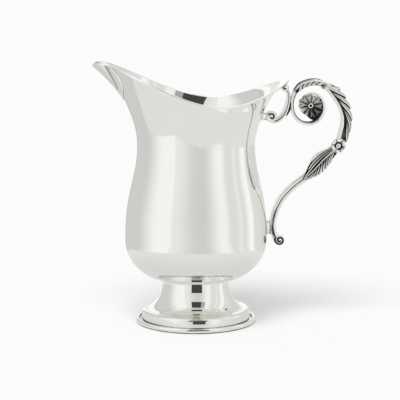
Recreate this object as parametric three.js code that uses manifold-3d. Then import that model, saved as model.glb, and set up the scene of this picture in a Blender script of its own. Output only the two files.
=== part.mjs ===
// Small silver oil jug: spun body on a round foot, pinched pouring lip, cast scroll handle.
// Millimetres, +Z up, the pouring lip points to -X and the handle to +X.
import * as THREE from "three";
import { mergeVertices } from "three/addons/utils/BufferGeometryUtils.js";
import Module from "manifold-3d";

const wasm = await Module();
wasm.setup();

// Fits
const GAP = 0.3; // room for solder between two curved pieces
const SEAT_GAP = 0.3; // room between a flat ornament and the bar below it

// Sheet metal of the body and the foot
const WALL = 0.8;

// Body
const BOWL_Z = 18.2; // underside of the bowl
const BOWL_FLAT_R = 12; // flat part of the underside
const BELLY_R = 30.1;
const BELLY_Z = 36; // widest point, and the seam between bowl and neck
const NECK_R = 24.9;
const NECK_Z = 75.5; // narrowest point of the neck

// Mouth: an oval in plan, with a rim that dips between the lip and the handle
const MOUTH_HALF_WIDTH = 27.3;
const MOUTH_FRONT = 37.6;
const MOUTH_BACK = 39.2;
const RIM_LOW_Z = 92.8;
const RIM_LOW_X = 9.5;
const RIM_DIP = 10; // roundness of the dip
const RIM_FRONT_SLOPE = 0.522;
const RIM_BACK_SLOPE = 0.557;

// Pouring lip, a beak set into a notch of the rim
const BEAK_HEIGHT = 13; // from the front of the rim down to the lowest point of the notch
const BEAK_HALF_WIDTH = 7.2; // at the rim
const BEAK_REACH = 5.6; // how far the beak stands out of the mouth's oval
const BEAK_LIFT = 4.5; // how far the flanks of the beak rise
const BEAK_DROOP = 1.6; // how far its tip hangs

// Foot
const STEM_R = 13.9;
const STEM_HOLE_R = 8;
const SHOULDER_R = 23;
const SHOULDER_Z = 5.8;
const SHOULDER_ROUND = 1.2;
const SHOULDER_EASE = 0.5; // drop of the shoulder before it turns down
const RING_SEAT_Z = 2.1;
const RING_OUT = 2.4; // how far the ring stands outside the foot wall
const RING_GROOVE = 0.9; // between the foot wall and the bead of the ring
const RING_LAND = 1.4; // how far the ring stands inside the foot wall

// Handle bars: half thickness in the plane of the handle and half depth across it
const BAND_HALF = 0.65;
const BAND_END_HALF = 0.4;
const HUSK_HALF = 1.45;
const BAR_HALF = 1;
const STEM_TOP_HALF = 1.6;
const STEM_END_HALF = 1.2;
const BAR_DEPTH = 2.2;
const HUSK_DEPTH = 2.6;
const STEM_END_DEPTH = 1.9;
const COLLAR_HALF = 0.75; // half length along the bar
const COLLAR_PROUD = 0.75;
const COLLAR_CROWN = 0.3;

// Leaves
const LEAF_RISE = 4.2; // crest of the upper leaf above the middle of the bar
const LEAF_DEPTH = 3.1;
const LEAF_LOBES = 6;
const LOBE_STEP = 0.42; // how far each lobe stands over the next one
const LOWER_LEAF_HALF = 3.65;
const LOWER_LEAF_EDGE = 0.35; // thickness at the edge
const LOWER_LEAF_WAVE = 0.25;
const PLATE = 1.3; // thickness of the flat ornaments

// Rosette in the upper scroll, placed from the back of the mouth
const ROSETTE_OUT = 9.2;
const ROSETTE_DROP = 11.14;
const ROSETTE_R = 4.5;
const ROSETTE_PETALS = 8;
const HUB_R = 3.4;
const HUB_DEPTH = 1.8;
const PIN_R = 0.8;
const PIN_PROUD = 0.15;
const PIN_ROUND = 0.2;
const SCROLL_R = 9.7; // from the middle of the rosette to the top of the scroll
const HUSK_BEARING = 140; // degrees from +X, where the band swells into the husk

// Flower on the side of the bar, placed from the middle of the rosette
const FLOWER_OUT = 11.95;
const FLOWER_DROP = 16.95;
const FLOWER_R = 2.5;
const FLOWER_PETALS = 5;

// Lower scroll, placed from the widest point of the belly
const EYE_OUT = 5.4;
const EYE_DROP = 1.8;
const EYE_R = 2.15;
const EYE_PROUD = 0.2;

// Bracket between the mouth and the handle: its top eye hangs under the back of the mouth
const BRACKET_HALF = 0.7;
const BRACKET_DEPTH = 2.1;
const BRACKET_EYE_PROUD = 0.15;
const TOP_EYE_IN = 1.9;
const TOP_EYE_R = 1.35;
const LOW_EYE_RISE = 11.15; // above the narrowest point of the neck
const LOW_EYE_R = 2.15;

// Solder pads on the body
const PAD_R = 2.1;
const PAD_TALL = 3.1;
const PAD_RISE = 3.6; // above the widest point of the belly
const NECK_PAD_R = 1.7;
const NECK_PAD_LENGTH = 1.85;
const PAD_TAPER = 0.12; // share of the pad's radius lost on the way out

// Mesh fineness
const TURN = 40; // segments round the turned pieces
const COLUMNS = 60; // columns round the neck
const EYE_SIDES = 20;
const HUB_SIDES = 24;

const silver = new THREE.MeshStandardMaterial({
  name: "polished_silver", color: 0xe4e4e2, roughness: 0.08, metalness: 1,
});
const cast = new THREE.MeshStandardMaterial({
  name: "oxidised_silver", color: 0xa9a8a2, roughness: 0.3, metalness: 1,
});

const lerp = THREE.MathUtils.lerp;
const smooth = THREE.MathUtils.smoothstep;
const V = (x, y, z) => new THREE.Vector3(x, y, z);

// Geometry helpers

function weld(geometry) {
  const bare = new THREE.BufferGeometry();
  const source = geometry.index ? geometry.toNonIndexed() : geometry;
  bare.setAttribute("position", source.getAttribute("position"));
  return mergeVertices(bare, 1e-4);
}

function toSolid(geometry) {
  const welded = weld(geometry);
  return new wasm.Manifold(new wasm.Mesh({
    numProp: 3,
    vertProperties: welded.attributes.position.array,
    triVerts: new Uint32Array(welded.index.array),
  }));
}

function toGeometry(solid) {
  const mesh = solid.getMesh();
  const points = new Float32Array(mesh.numVert * 3);
  for (let i = 0; i < mesh.numVert; i++) {
    const start = i * mesh.numProp;
    points.set(mesh.vertProperties.subarray(start, start + 3), i * 3);
  }
  const geometry = new THREE.BufferGeometry();
  geometry.setAttribute("position", new THREE.BufferAttribute(points, 3));
  geometry.setIndex(new THREE.BufferAttribute(mesh.triVerts, 1));
  return geometry;
}

// A closed skin turned to face out, whichever way its rings or profile ran
function facingOut(geometry) {
  const p = geometry.attributes.position;
  const order = geometry.index.array;
  const [a, b, c] = [V(), V(), V()];
  let volume = 0;
  for (let i = 0; i < order.length; i += 3) {
    a.fromBufferAttribute(p, order[i]);
    b.fromBufferAttribute(p, order[i + 1]);
    c.fromBufferAttribute(p, order[i + 2]);
    volume += a.dot(b.cross(c));
  }
  if (volume < 0) order.reverse();
  return geometry;
}

// Skin over rings of equal length. A looped skin joins its last ring to its first one.
function loft(rings, looped = false) {
  const sides = rings[0].length;
  const points = rings.flat();
  const faces = [];
  const last = looped ? rings.length : rings.length - 1;
  for (let i = 0; i < last; i++) {
    const next = (i + 1) % rings.length;
    for (let j = 0; j < sides; j++) {
      const k = (j + 1) % sides;
      const [a, b] = [i * sides + j, i * sides + k];
      const [c, d] = [next * sides + j, next * sides + k];
      faces.push(a, b, d, a, d, c);
    }
  }
  if (!looped) {
    for (const end of [0, rings.length - 1]) {
      const middle = points.length;
      const centre = V(0, 0, 0);
      rings[end].forEach((p) => centre.addScaledVector(p, 1 / sides));
      points.push(centre);
      for (let j = 0; j < sides; j++) {
        const [a, b] = [end * sides + j, end * sides + ((j + 1) % sides)];
        if (end === 0) faces.push(b, a, middle);
        else faces.push(a, b, middle);
      }
    }
  }
  const geometry = new THREE.BufferGeometry().setFromPoints(points);
  geometry.setIndex(faces);
  return facingOut(geometry);
}

// Turned piece from a path of radius against height
function turned(path, fineness) {
  const points = path.getPoints(fineness).map((p) => new THREE.Vector2(Math.max(p.x, 0), p.y));
  const clean = points.filter((p, i) => i === 0 || p.distanceTo(points[i - 1]) > 1e-4);
  const geometry = weld(new THREE.LatheGeometry(clean, TURN));
  geometry.rotateX(Math.PI / 2);
  return toGeometry(toSolid(facingOut(geometry)));
}

// Rounded box section as offsets in the plane of the handle and across it
function roundedSection(half, depth, sides = 12) {
  const section = [];
  for (let i = 0; i < sides; i++) {
    const angle = (2 * Math.PI * (i + 0.5)) / sides;
    const c = Math.cos(angle);
    const s = Math.sin(angle);
    const bend = Math.pow(Math.abs(c) ** 3.2 + Math.abs(s) ** 3.2, -1 / 3.2);
    section.push([half * c * bend, depth * s * bend]);
  }
  return section;
}

// Round piece along Y from steps of radius and place
function roundAlongY(x, z, steps, sides) {
  return loft(steps.map(([r, y]) => {
    const ring = [];
    for (let j = 0; j < sides; j++) {
      const angle = (2 * Math.PI * j) / sides;
      ring.push(V(x + r * Math.cos(angle), y, z + r * Math.sin(angle)));
    }
    return ring;
  }));
}

// Flat eye of a scroll, with softened edges
function eye(x, z, radius, depth) {
  const steps = [[0.82, -1], [1, -0.8], [1, 0.8], [0.82, 1]];
  return roundAlongY(x, z, steps.map(([r, y]) => [radius * r, depth * y]), EYE_SIDES);
}

// Body
const bowlPath = new THREE.Path();
bowlPath.moveTo(0, BOWL_Z);
bowlPath.lineTo(BOWL_FLAT_R, BOWL_Z);
bowlPath.absellipse(BOWL_FLAT_R, BELLY_Z, BELLY_R - BOWL_FLAT_R, BELLY_Z - BOWL_Z, -Math.PI / 2, 0, false);
bowlPath.lineTo(BELLY_R - WALL, BELLY_Z);
bowlPath.absellipse(
  BOWL_FLAT_R, BELLY_Z, BELLY_R - BOWL_FLAT_R - WALL, BELLY_Z - BOWL_Z - WALL, 0, -Math.PI / 2, true,
);
bowlPath.lineTo(0, BOWL_Z + WALL);

const bodyCurve = new THREE.CubicBezierCurve(
  new THREE.Vector2(BELLY_R, BELLY_Z),
  new THREE.Vector2(BELLY_R, lerp(BELLY_Z, NECK_Z, 0.53)),
  new THREE.Vector2(NECK_R, lerp(BELLY_Z, NECK_Z, 0.635)),
  new THREE.Vector2(NECK_R, NECK_Z),
);

function rimHeight(x) {
  const slope = x < RIM_LOW_X ? RIM_FRONT_SLOPE : RIM_BACK_SLOPE;
  return RIM_LOW_Z + Math.hypot(RIM_DIP, slope * (x - RIM_LOW_X)) - RIM_DIP;
}

const beakTopZ = rimHeight(-MOUTH_FRONT);
const beakZ = beakTopZ - BEAK_HEIGHT;
const lipBackZ = rimHeight(MOUTH_BACK);

// Flaring upper wall at one bearing: a curve from the neck to the rim
function flareCurve(angle) {
  const front = Math.cos(angle) < 0;
  const long = front ? MOUTH_FRONT : MOUTH_BACK;
  const radius = (long * MOUTH_HALF_WIDTH)
    / Math.hypot(MOUTH_HALF_WIDTH * Math.cos(angle), long * Math.sin(angle));
  const end = (radius - MOUTH_HALF_WIDTH) / (long - MOUTH_HALF_WIDTH);
  const top = rimHeight(radius * Math.cos(angle));
  const rise = top - NECK_Z;
  const flare = radius - NECK_R;
  return new THREE.CubicBezierCurve(
    new THREE.Vector2(NECK_R, NECK_Z),
    new THREE.Vector2(NECK_R, NECK_Z + rise * lerp(0.4, front ? 0.3 : 0.15, end)),
    new THREE.Vector2(NECK_R + flare * lerp(0.3, front ? 0.52 : 0.31, end),
      NECK_Z + rise * lerp(0.75, front ? 0.6 : 0.82, end)),
    new THREE.Vector2(radius, top),
  );
}

// The beak pushes the wall out between two creases that meet at its lowest point.
function withBeak(p) {
  if (p.x > 0 || p.z <= beakZ) return p;
  const climb = (p.z - beakZ) / BEAK_HEIGHT;
  const across = Math.abs(p.y) / (BEAK_HALF_WIDTH * climb);
  if (across >= 1) return p;
  const bulge = 1 - across * across;
  const push = Math.pow(climb, 1.5);
  const lift = BEAK_LIFT * bulge * (1 - bulge) - BEAK_DROOP * bulge * bulge;
  return V(p.x - BEAK_REACH * push * bulge, p.y, p.z + lift * push ** 2);
}

// Columns stand closer together at the beak.
function columnAngle(j) {
  const u = (2 * (j + 0.5)) / COLUMNS - 1;
  return Math.PI + Math.PI * (0.42 * u + 0.58 * u ** 3);
}

function neckPoint(j, row) {
  const angle = columnAngle(j);
  const curve = row < 1 ? bodyCurve : flareCurve(angle);
  const p = curve.getPoint(row < 1 ? row : row - 1);
  return withBeak(V(p.x * Math.cos(angle), p.x * Math.sin(angle), p.y));
}

function neckShell() {
  const rows = [0, 0.2, 0.4, 0.6, 0.8, 1, 1.2, 1.4, 1.56, 1.71, 1.86, 2];
  const outer = rows.map((row) => {
    const ring = [];
    for (let j = 0; j < COLUMNS; j++) ring.push(neckPoint(j, row));
    return ring;
  });
  const inner = outer.map((ring, i) => ring.map((p, j) => {
    const east = ring[(j + 1) % COLUMNS].clone().sub(ring[(j + COLUMNS - 1) % COLUMNS]);
    const above = outer[Math.min(i + 1, rows.length - 1)][j];
    const north = above.clone().sub(outer[Math.max(i - 1, 0)][j]);
    const normal = east.cross(north).normalize();
    if (i === 0) normal.setZ(0).normalize();
    return p.clone().addScaledVector(normal, -WALL);
  }));
  return toSolid(loft([...outer, ...inner.reverse()], true));
}

// Wedge that parts the beak from the neck, narrowed or widened by a margin.
// It runs from half way out to well past the beak, and over its top.
function notch(margin) {
  const spread = BEAK_HALF_WIDTH / BEAK_HEIGHT;
  const drop = margin * Math.hypot(1, spread) / spread;
  const top = beakTopZ + 2 * BEAK_LIFT;
  const half = spread * (top - beakZ + drop);
  const outline = [[0, beakZ - drop], [half, top], [-half, top]];
  const ends = [-1.5 * (MOUTH_FRONT + BEAK_REACH), -0.5 * MOUTH_FRONT];
  return toSolid(loft(ends.map((x) => outline.map(([y, z]) => V(x, y, z)))));
}

const shell = neckShell();
const neckSolid = shell.subtract(notch(GAP / 2));
const beakSolid = shell.intersect(notch(-GAP / 2));

// Foot
const footPath = new THREE.Path();
const flareIn = STEM_R - WALL;
const wallIn = SHOULDER_R - WALL;
const domeZ = SHOULDER_Z - WALL;
footPath.moveTo(STEM_HOLE_R, BOWL_Z);
footPath.lineTo(STEM_R, BOWL_Z);
footPath.bezierCurveTo(
  STEM_R, lerp(BOWL_Z, SHOULDER_Z, 0.5), lerp(STEM_R, SHOULDER_R, 0.32), lerp(BOWL_Z, SHOULDER_Z, 0.93),
  SHOULDER_R - SHOULDER_ROUND, SHOULDER_Z,
);
footPath.quadraticCurveTo(
  SHOULDER_R, SHOULDER_Z - SHOULDER_EASE, SHOULDER_R, SHOULDER_Z - SHOULDER_EASE - SHOULDER_ROUND,
);
footPath.lineTo(SHOULDER_R, RING_SEAT_Z);
footPath.lineTo(wallIn, RING_SEAT_Z);
footPath.lineTo(wallIn, domeZ - SHOULDER_EASE - SHOULDER_ROUND / 2);
footPath.quadraticCurveTo(wallIn, domeZ - SHOULDER_EASE, wallIn - SHOULDER_ROUND, domeZ);
footPath.bezierCurveTo(
  lerp(flareIn, wallIn, 0.32), lerp(BOWL_Z, domeZ, 0.93), flareIn, lerp(BOWL_Z, domeZ, 0.5), flareIn, BOWL_Z - WALL,
);
footPath.lineTo(STEM_HOLE_R, BOWL_Z - WALL);
footPath.lineTo(STEM_HOLE_R, BOWL_Z);

const ringPath = new THREE.Path();
const beadR = (RING_OUT - RING_GROOVE) / 2;
const beadX = SHOULDER_R + RING_OUT - beadR;
ringPath.moveTo(SHOULDER_R - RING_LAND, 0);
ringPath.lineTo(beadX, 0);
ringPath.absellipse(beadX, RING_SEAT_Z / 2, beadR, RING_SEAT_Z / 2, -Math.PI / 2, Math.PI, false);
ringPath.lineTo(SHOULDER_R, RING_SEAT_Z / 2);
ringPath.lineTo(SHOULDER_R, RING_SEAT_Z);
ringPath.lineTo(SHOULDER_R - RING_LAND, RING_SEAT_Z);
ringPath.lineTo(SHOULDER_R - RING_LAND, 0);

// Places of the handle's ornaments, each from the piece that carries it
const rosetteX = MOUTH_BACK + ROSETTE_OUT;
const rosetteZ = lipBackZ - ROSETTE_DROP;
const flowerX = rosetteX + FLOWER_OUT;
const flowerZ = rosetteZ - FLOWER_DROP;
const eyeX = BELLY_R + EYE_OUT;
const eyeZ = BELLY_Z - EYE_DROP;

// Handle spine: one curve from the end of the upper scroll to the lower scroll.
// Scroll: bearing from the middle of the rosette, and share of the way from the innermost turn to the outermost one.
const SCROLL = [
  [118, 0], [90, 0.022], [60, 0.022], [30, 0.033], [0, 0.067], [-30, 0.178], [-60, 0.333], [-90, 0.489],
  [-120, 0.589], [-150, 0.622], [180, 0.633], [160, 0.711], [140, 0.822], [115, 0.933], [98, 1],
];
// Arch: shares of the way from the rosette to the flower, outwards and down
const ARCH = [
  [0.134, -0.59], [0.351, -0.555], [0.485, -0.49], [0.661, -0.36], [0.803, -0.236], [0.946, -0.088],
  [1.054, 0.059], [1.13, 0.23], [1.138, 0.366], [1.121, 0.501], [1.071, 0.637], [1.021, 0.779], [0.962, 0.903],
];
// Stem: shares of the way from the lower scroll to the flower, outwards and up
const STEM = [
  [0.938, 0.981], [0.849, 0.918], [0.757, 0.863], [0.644, 0.788], [0.527, 0.72], [0.398, 0.655], [0.27, 0.595],
  [0.161, 0.529], [0.08, 0.467], [0.016, 0.404], [-0.032, 0.339], [-0.068, 0.276], [-0.091, 0.211],
  [-0.101, 0.141], [-0.093, 0.078], [-0.064, 0.025],
];

// Points given as shares of the way from one place to another
function between(x0, z0, x1, z1, list) {
  return list.map(([x, z]) => V(lerp(x0, x1, x), 0, lerp(z0, z1, z)));
}

function aroundRosette(bearing, distance) {
  const angle = THREE.MathUtils.degToRad(bearing);
  return V(rosetteX + distance * Math.cos(angle), 0, rosetteZ + distance * Math.sin(angle));
}

const innerTurn = ROSETTE_R + GAP + BAND_END_HALF;
const scrollPoints = SCROLL.map(([bearing, share]) => aroundRosette(bearing, lerp(innerTurn, SCROLL_R, share)));
const archPoints = between(rosetteX, rosetteZ, flowerX, flowerZ, ARCH);
const stemPoints = between(eyeX, eyeZ, flowerX, flowerZ, STEM);
const spine = new THREE.CatmullRomCurve3([...scrollPoints, ...archPoints, ...stemPoints]);
spine.arcLengthDivisions = 800;
const spineLength = spine.getLength();

// Share of the spine's length nearest to a point
function mark(point, from = 0, to = 1) {
  let best = from;
  let least = Infinity;
  for (let i = 0; i <= 1500; i++) {
    const s = lerp(from, to, i / 1500);
    const distance = spine.getPointAt(s).distanceTo(point);
    if (distance < least) {
      least = distance;
      best = s;
    }
  }
  return best;
}

// A ring of the section set square to a curve, with its first offset pointing outwards
function ringAt(curve, s, section) {
  const p = curve.getPointAt(s);
  const t = curve.getTangentAt(s).setY(0).normalize();
  return section.map(([out, y]) => V(p.x - t.z * out, y, p.z + t.x * out));
}

function sweep(curve, from, to, steps, sectionAt) {
  const rings = [];
  for (let i = 0; i <= steps; i++) {
    const u = i / steps;
    rings.push(ringAt(curve, lerp(from, to, u), sectionAt(u)));
  }
  return loft(rings);
}

const scrollEnd = mark(aroundRosette(HUSK_BEARING, SCROLL_R), 0.2, 0.6);
const collarAt = mark(archPoints[2], scrollEnd, 0.7); // the collar sits on the third point of the arch
const flowerAt = mark(V(flowerX, 0, flowerZ), collarAt, 0.8);
const collarShare = COLLAR_HALF / spineLength;

const voluteBand = sweep(spine, 0, scrollEnd, 36, (u) => roundedSection(
  lerp(BAND_END_HALF, BAND_HALF, smooth(u, 0, 0.4)) + (BAR_HALF - BAND_HALF) * smooth(u, 0.85, 1),
  BAR_DEPTH,
));
const husk = sweep(spine, scrollEnd, collarAt, 16, (u) => {
  const full = smooth(u, 0, 0.25) * (1 - smooth(u, 0.8, 0.93));
  return roundedSection(lerp(BAR_HALF, HUSK_HALF, full), lerp(BAR_DEPTH, HUSK_DEPTH, full));
});
const leafBar = sweep(spine, collarAt, flowerAt, 18, () => roundedSection(BAR_HALF, BAR_DEPTH));
const stemSweep = sweep(spine, flowerAt, 1, 34, (u) => {
  const full = smooth(u, 0.05, 0.25);
  const slim = smooth(u, 0.35, 0.85);
  const half = lerp(lerp(BAR_HALF, STEM_TOP_HALF, full), STEM_END_HALF, slim);
  return roundedSection(half, lerp(BAR_DEPTH, STEM_END_DEPTH, slim));
});
const stemBar = toGeometry(toSolid(stemSweep).add(toSolid(eye(eyeX, eyeZ, EYE_R, STEM_END_DEPTH + EYE_PROUD))));

function collar() {
  const grown = (extra) => roundedSection(BAR_HALF + extra, BAR_DEPTH + extra, 16);
  const at = (side, extra) => ringAt(spine, collarAt + side * collarShare, grown(extra));
  const crown = COLLAR_PROUD + COLLAR_CROWN;
  return loft([
    at(-1, COLLAR_PROUD), at(-0.6, crown), at(0.6, crown), at(1, COLLAR_PROUD), at(1, GAP), at(0, GAP), at(-1, GAP),
  ], true);
}

// Upper leaf: lobes lying one over the next along the outer side of the bar, up to the edge of the flower
function upperLeaf() {
  const from = collarAt + collarShare + GAP / spineLength;
  const to = flowerAt - FLOWER_R / spineLength;
  const base = BAR_HALF + GAP;
  return sweep(spine, from, to, 48, (u) => {
    const lobe = (u * LEAF_LOBES) % 1;
    const step = LOBE_STEP * smooth(lobe, 0, 0.75) * (1 - smooth(lobe, 0.86, 1));
    const body = lerp(0.72, 1, smooth(u, 0, 0.2)) * lerp(1, 0.74, smooth(u, 0.6, 1));
    const crest = LEAF_RISE * body + step;
    const slimmer = lerp(0.86, 1, smooth(u, 0, 0.25)) * lerp(1, 0.8, smooth(u, 0.7, 1));
    const depth = LEAF_DEPTH * slimmer + step * 0.5;
    const section = [];
    for (let i = 0; i <= 8; i++) {
      const angle = Math.PI * (i / 8);
      section.push([base + (crest - base) * Math.sin(angle) ** 0.8, depth * Math.cos(angle)]);
    }
    return section;
  });
}

// Lower leaf: a domed plate on one side of the stem.
// Its middle line is given like the stem's, and its widths as shares of the widest one.
const LEAF_LINE = [
  [0.897, 0.951], [0.825, 0.913], [0.74, 0.868], [0.652, 0.808], [0.555, 0.743], [0.471, 0.693], [0.39, 0.65],
];
const LEAF_WIDTHS = [0.356, 0.795, 0.986, 1, 0.795, 0.466, 0.11];
const leafLine = new THREE.CatmullRomCurve3(between(eyeX, eyeZ, flowerX, flowerZ, LEAF_LINE));

function lowerLeaf(side) {
  const base = BAR_DEPTH + SEAT_GAP;
  const widths = LEAF_WIDTHS.length - 1;
  return sweep(leafLine, 0, 1, 30, (u) => {
    const i = Math.min(Math.floor(u * widths), widths - 1);
    const width = LOWER_LEAF_HALF * lerp(LEAF_WIDTHS[i], LEAF_WIDTHS[i + 1], u * widths - i);
    const half = width + LOWER_LEAF_WAVE * Math.cos(u * 12 * Math.PI) * Math.sin(Math.PI * u);
    const crown = PLATE * lerp(0.8, 1, Math.sin(Math.PI * u));
    const section = [];
    for (const a of [1, 0.72, 0.36, 0, -0.36, -0.72, -1]) {
      section.push([half * a, side * (base + lerp(LOWER_LEAF_EDGE, crown, 1 - a * a))]);
    }
    for (const a of [-1, 0, 1]) section.push([half * a, side * base]);
    return section;
  });
}

// Petalled disc facing +Y or -Y, from rows of radius share and height as a share of the plate
function petalDisc(x, z, radius, petals, side, rows, base, looped) {
  const count = petals * 4;
  const rings = rows.map(([share, rise]) => {
    const ring = [];
    for (let j = 0; j < count; j++) {
      const angle = (2 * Math.PI * j) / count;
      const petal = Math.sqrt(Math.abs(Math.cos((petals * angle) / 2)));
      const r = radius * share * lerp(1, lerp(0.86, 1, petal), smooth(share, 0.3, 0.7));
      const y = base + PLATE * rise * lerp(1, lerp(0.75, 1, petal), smooth(share, 0.3, 0.6));
      ring.push(V(x + r * Math.cos(angle), side * y, z + r * Math.sin(angle)));
    }
    return ring;
  });
  return loft(rings, looped);
}

function rosette(side) {
  const hole = (PIN_R + GAP) / ROSETTE_R;
  const rows = [
    [hole, 0], [HUB_R / ROSETTE_R, 0], [0.9, 0.19], [1, 0.54], [0.94, 0.885], [0.7, 1], [0.42, 0.73], [hole, 0.846],
  ];
  return petalDisc(rosetteX, rosetteZ, ROSETTE_R, ROSETTE_PETALS, side, rows, HUB_DEPTH, true);
}

function flower(side) {
  const rows = [
    [0.75, 0], [0.97, 0.23], [1, 0.58], [0.8, 0.85], [0.5, 0.65], [0.36, 0.73], [0.3, 1.15], [0.15, 1.31],
  ];
  return petalDisc(flowerX, flowerZ, FLOWER_R, FLOWER_PETALS, side, rows, BAR_DEPTH + SEAT_GAP, false);
}

function hub() {
  const end = HUB_DEPTH + PLATE + PIN_PROUD;
  const half = [[HUB_R, HUB_DEPTH], [PIN_R, HUB_DEPTH], [PIN_R, end - PIN_ROUND], [PIN_R * 0.7, end]];
  const mirrored = half.map(([r, y]) => [r, -y]).reverse();
  return roundAlongY(rosetteX, rosetteZ, [...mirrored, ...half], HUB_SIDES);
}

// Height of a round eye that hangs just below the back of the mouth
function heightUnderLip(x, radius) {
  const reach = radius + 1.5 * GAP;
  const lip = flareCurve(0);
  let height = Infinity;
  for (let i = 0; i <= 200; i++) {
    const p = lip.getPoint(i / 200);
    if (Math.abs(p.x - x) < reach) height = Math.min(height, p.y - Math.sqrt(reach ** 2 - (p.x - x) ** 2));
  }
  return height;
}

// Outer radius of the body behind the handle at a height
function backRadius(z) {
  if (z < BELLY_Z) {
    const drop = (BELLY_Z - z) / (BELLY_Z - BOWL_Z);
    return BOWL_FLAT_R + (BELLY_R - BOWL_FLAT_R) * Math.sqrt(1 - drop * drop);
  }
  const curve = z < NECK_Z ? bodyCurve : flareCurve(0);
  let [low, high] = [0, 1];
  for (let i = 0; i < 40; i++) {
    const middle = (low + high) / 2;
    if (curve.getPoint(middle).y < z) low = middle;
    else high = middle;
  }
  return curve.getPoint(low).x;
}

// Bracket: a strip that ends in two small eyes. Its points are shares of the way from the low eye to the top one.
const BRACKET = [
  [1.096, 0.927], [1.25, 0.813], [1.279, 0.663], [1.231, 0.452], [1.096, 0.233], [0.827, 0.022], [0.442, -0.119],
  [0.077, -0.154],
];
const EYE_SEAT = 0.86; // share of the low eye's radius at which its pad ends
const topEyeX = MOUTH_BACK - TOP_EYE_IN;
const topEyeZ = heightUnderLip(topEyeX, TOP_EYE_R);
const lowEyeZ = NECK_Z + LOW_EYE_RISE;
const lowEyeX = backRadius(lowEyeZ) + NECK_PAD_LENGTH + 2 * GAP + LOW_EYE_R * EYE_SEAT;
const bracketCurve = new THREE.CatmullRomCurve3(between(lowEyeX, lowEyeZ, topEyeX, topEyeZ, BRACKET));
const bracketStrip = sweep(bracketCurve, 0, 1, 20, (u) => roundedSection(
  lerp(BRACKET_HALF, BRACKET_HALF * 1.25, smooth(u, 0.3, 0.8)), BRACKET_DEPTH,
));
const bracket = toSolid(bracketStrip)
  .add(toSolid(eye(topEyeX, topEyeZ, TOP_EYE_R, BRACKET_DEPTH + BRACKET_EYE_PROUD)))
  .add(toSolid(eye(lowEyeX, lowEyeZ, LOW_EYE_R, BRACKET_DEPTH + BRACKET_EYE_PROUD)));

// Pad along X between the body and a handle piece. Its inner face follows the round of the body.
function pad(z, radius, tall, outerX) {
  const steps = [0, 0.55, 1];
  const rings = [[], [], []];
  for (let j = 0; j < EYE_SIDES; j++) {
    const angle = (2 * Math.PI * j) / EYE_SIDES;
    const y = radius * Math.cos(angle);
    const height = z + tall * Math.sin(angle);
    const inner = Math.sqrt(backRadius(height) ** 2 - y * y) + GAP;
    steps.forEach((u, i) => {
      rings[i].push(V(lerp(inner, outerX, u), y * (1 - PAD_TAPER * u), lerp(height, z, PAD_TAPER * u)));
    });
  }
  return loft(rings);
}

const padZ = BELLY_Z + PAD_RISE;
const stemFaceX = spine.getPointAt(mark(V(eyeX, 0, padZ), flowerAt, 1)).x - STEM_END_HALF;
const stemPad = pad(padZ, PAD_R, PAD_TALL, stemFaceX - GAP);
const neckPad = pad(lowEyeZ, NECK_PAD_R, NECK_PAD_R, lowEyeX - LOW_EYE_R * EYE_SEAT - GAP);

// Assembly
const jug = new THREE.Group();
jug.name = "oil_jug";

function add(name, geometry, material) {
  geometry.computeVertexNormals();
  const mesh = new THREE.Mesh(geometry, material);
  mesh.name = name;
  jug.add(mesh);
}

add("body_bowl", turned(bowlPath, 5), silver);
add("body_neck", toGeometry(neckSolid), silver);
add("pouring_lip", toGeometry(beakSolid), silver);
add("foot_pedestal", turned(footPath, 5), silver);
add("foot_ring", turned(ringPath, 3), silver);
add("stem_pad", stemPad, silver);
add("neck_pad", neckPad, silver);
add("bracket_scroll", toGeometry(bracket), cast);
add("volute_band", voluteBand, cast);
add("husk_bar", husk, cast);
add("bar_collar", collar(), cast);
add("leaf_bar", leafBar, cast);
add("upper_leaf", upperLeaf(), cast);
add("stem_bar", stemBar, cast);
add("lower_leaf_front", lowerLeaf(-1), cast);
add("lower_leaf_back", lowerLeaf(1), cast);
add("flower_front", flower(-1), cast);
add("flower_back", flower(1), cast);
add("rosette_hub", hub(), cast);
add("rosette_front", rosette(-1), cast);
add("rosette_back", rosette(1), cast);

// The frame's origin is the middle of the jug's outline on the table.
const middle = new THREE.Box3().setFromObject(jug).getCenter(V());
jug.children.forEach((piece) => piece.geometry.translate(-middle.x, 0, 0));

export default jug;
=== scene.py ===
"""Small silver oil jug: a raised body, a spun foot and a cast scroll handle, on a pale studio stage."""

import math

import bmesh
import bpy
import numpy as np
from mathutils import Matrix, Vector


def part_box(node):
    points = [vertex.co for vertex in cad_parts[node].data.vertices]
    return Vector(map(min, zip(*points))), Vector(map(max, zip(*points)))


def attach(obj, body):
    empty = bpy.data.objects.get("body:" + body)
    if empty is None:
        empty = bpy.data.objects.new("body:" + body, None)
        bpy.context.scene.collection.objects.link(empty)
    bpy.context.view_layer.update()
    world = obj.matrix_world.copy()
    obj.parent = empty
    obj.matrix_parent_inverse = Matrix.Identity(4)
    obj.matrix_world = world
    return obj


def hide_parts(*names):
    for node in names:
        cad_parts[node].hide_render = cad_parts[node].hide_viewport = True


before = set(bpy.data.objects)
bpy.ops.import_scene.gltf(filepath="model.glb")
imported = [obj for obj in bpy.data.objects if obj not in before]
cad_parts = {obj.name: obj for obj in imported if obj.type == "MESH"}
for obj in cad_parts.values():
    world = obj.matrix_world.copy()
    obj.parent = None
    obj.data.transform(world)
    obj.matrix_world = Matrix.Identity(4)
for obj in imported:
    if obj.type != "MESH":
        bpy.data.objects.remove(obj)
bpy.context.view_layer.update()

bl_info = {
    "name": "Oil jug",
    "version": (1, 0, 0),
    "blender": (4, 5, 0),
    "location": "View3D > Sidebar > Oil jug",
    "description": "Builds a small silver oil jug and a studio stage for it",
    "category": "Add Mesh",
}

MM = 0.001
TURN = 2 * math.pi
BODY = "root"
POLISHED = "polished_silver"
OXIDISED = "oxidised_silver"
FRONT = -1
BACK = 1
SIDES = {"front": FRONT, "back": BACK}


# Sizes and colours that a user may change

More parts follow.
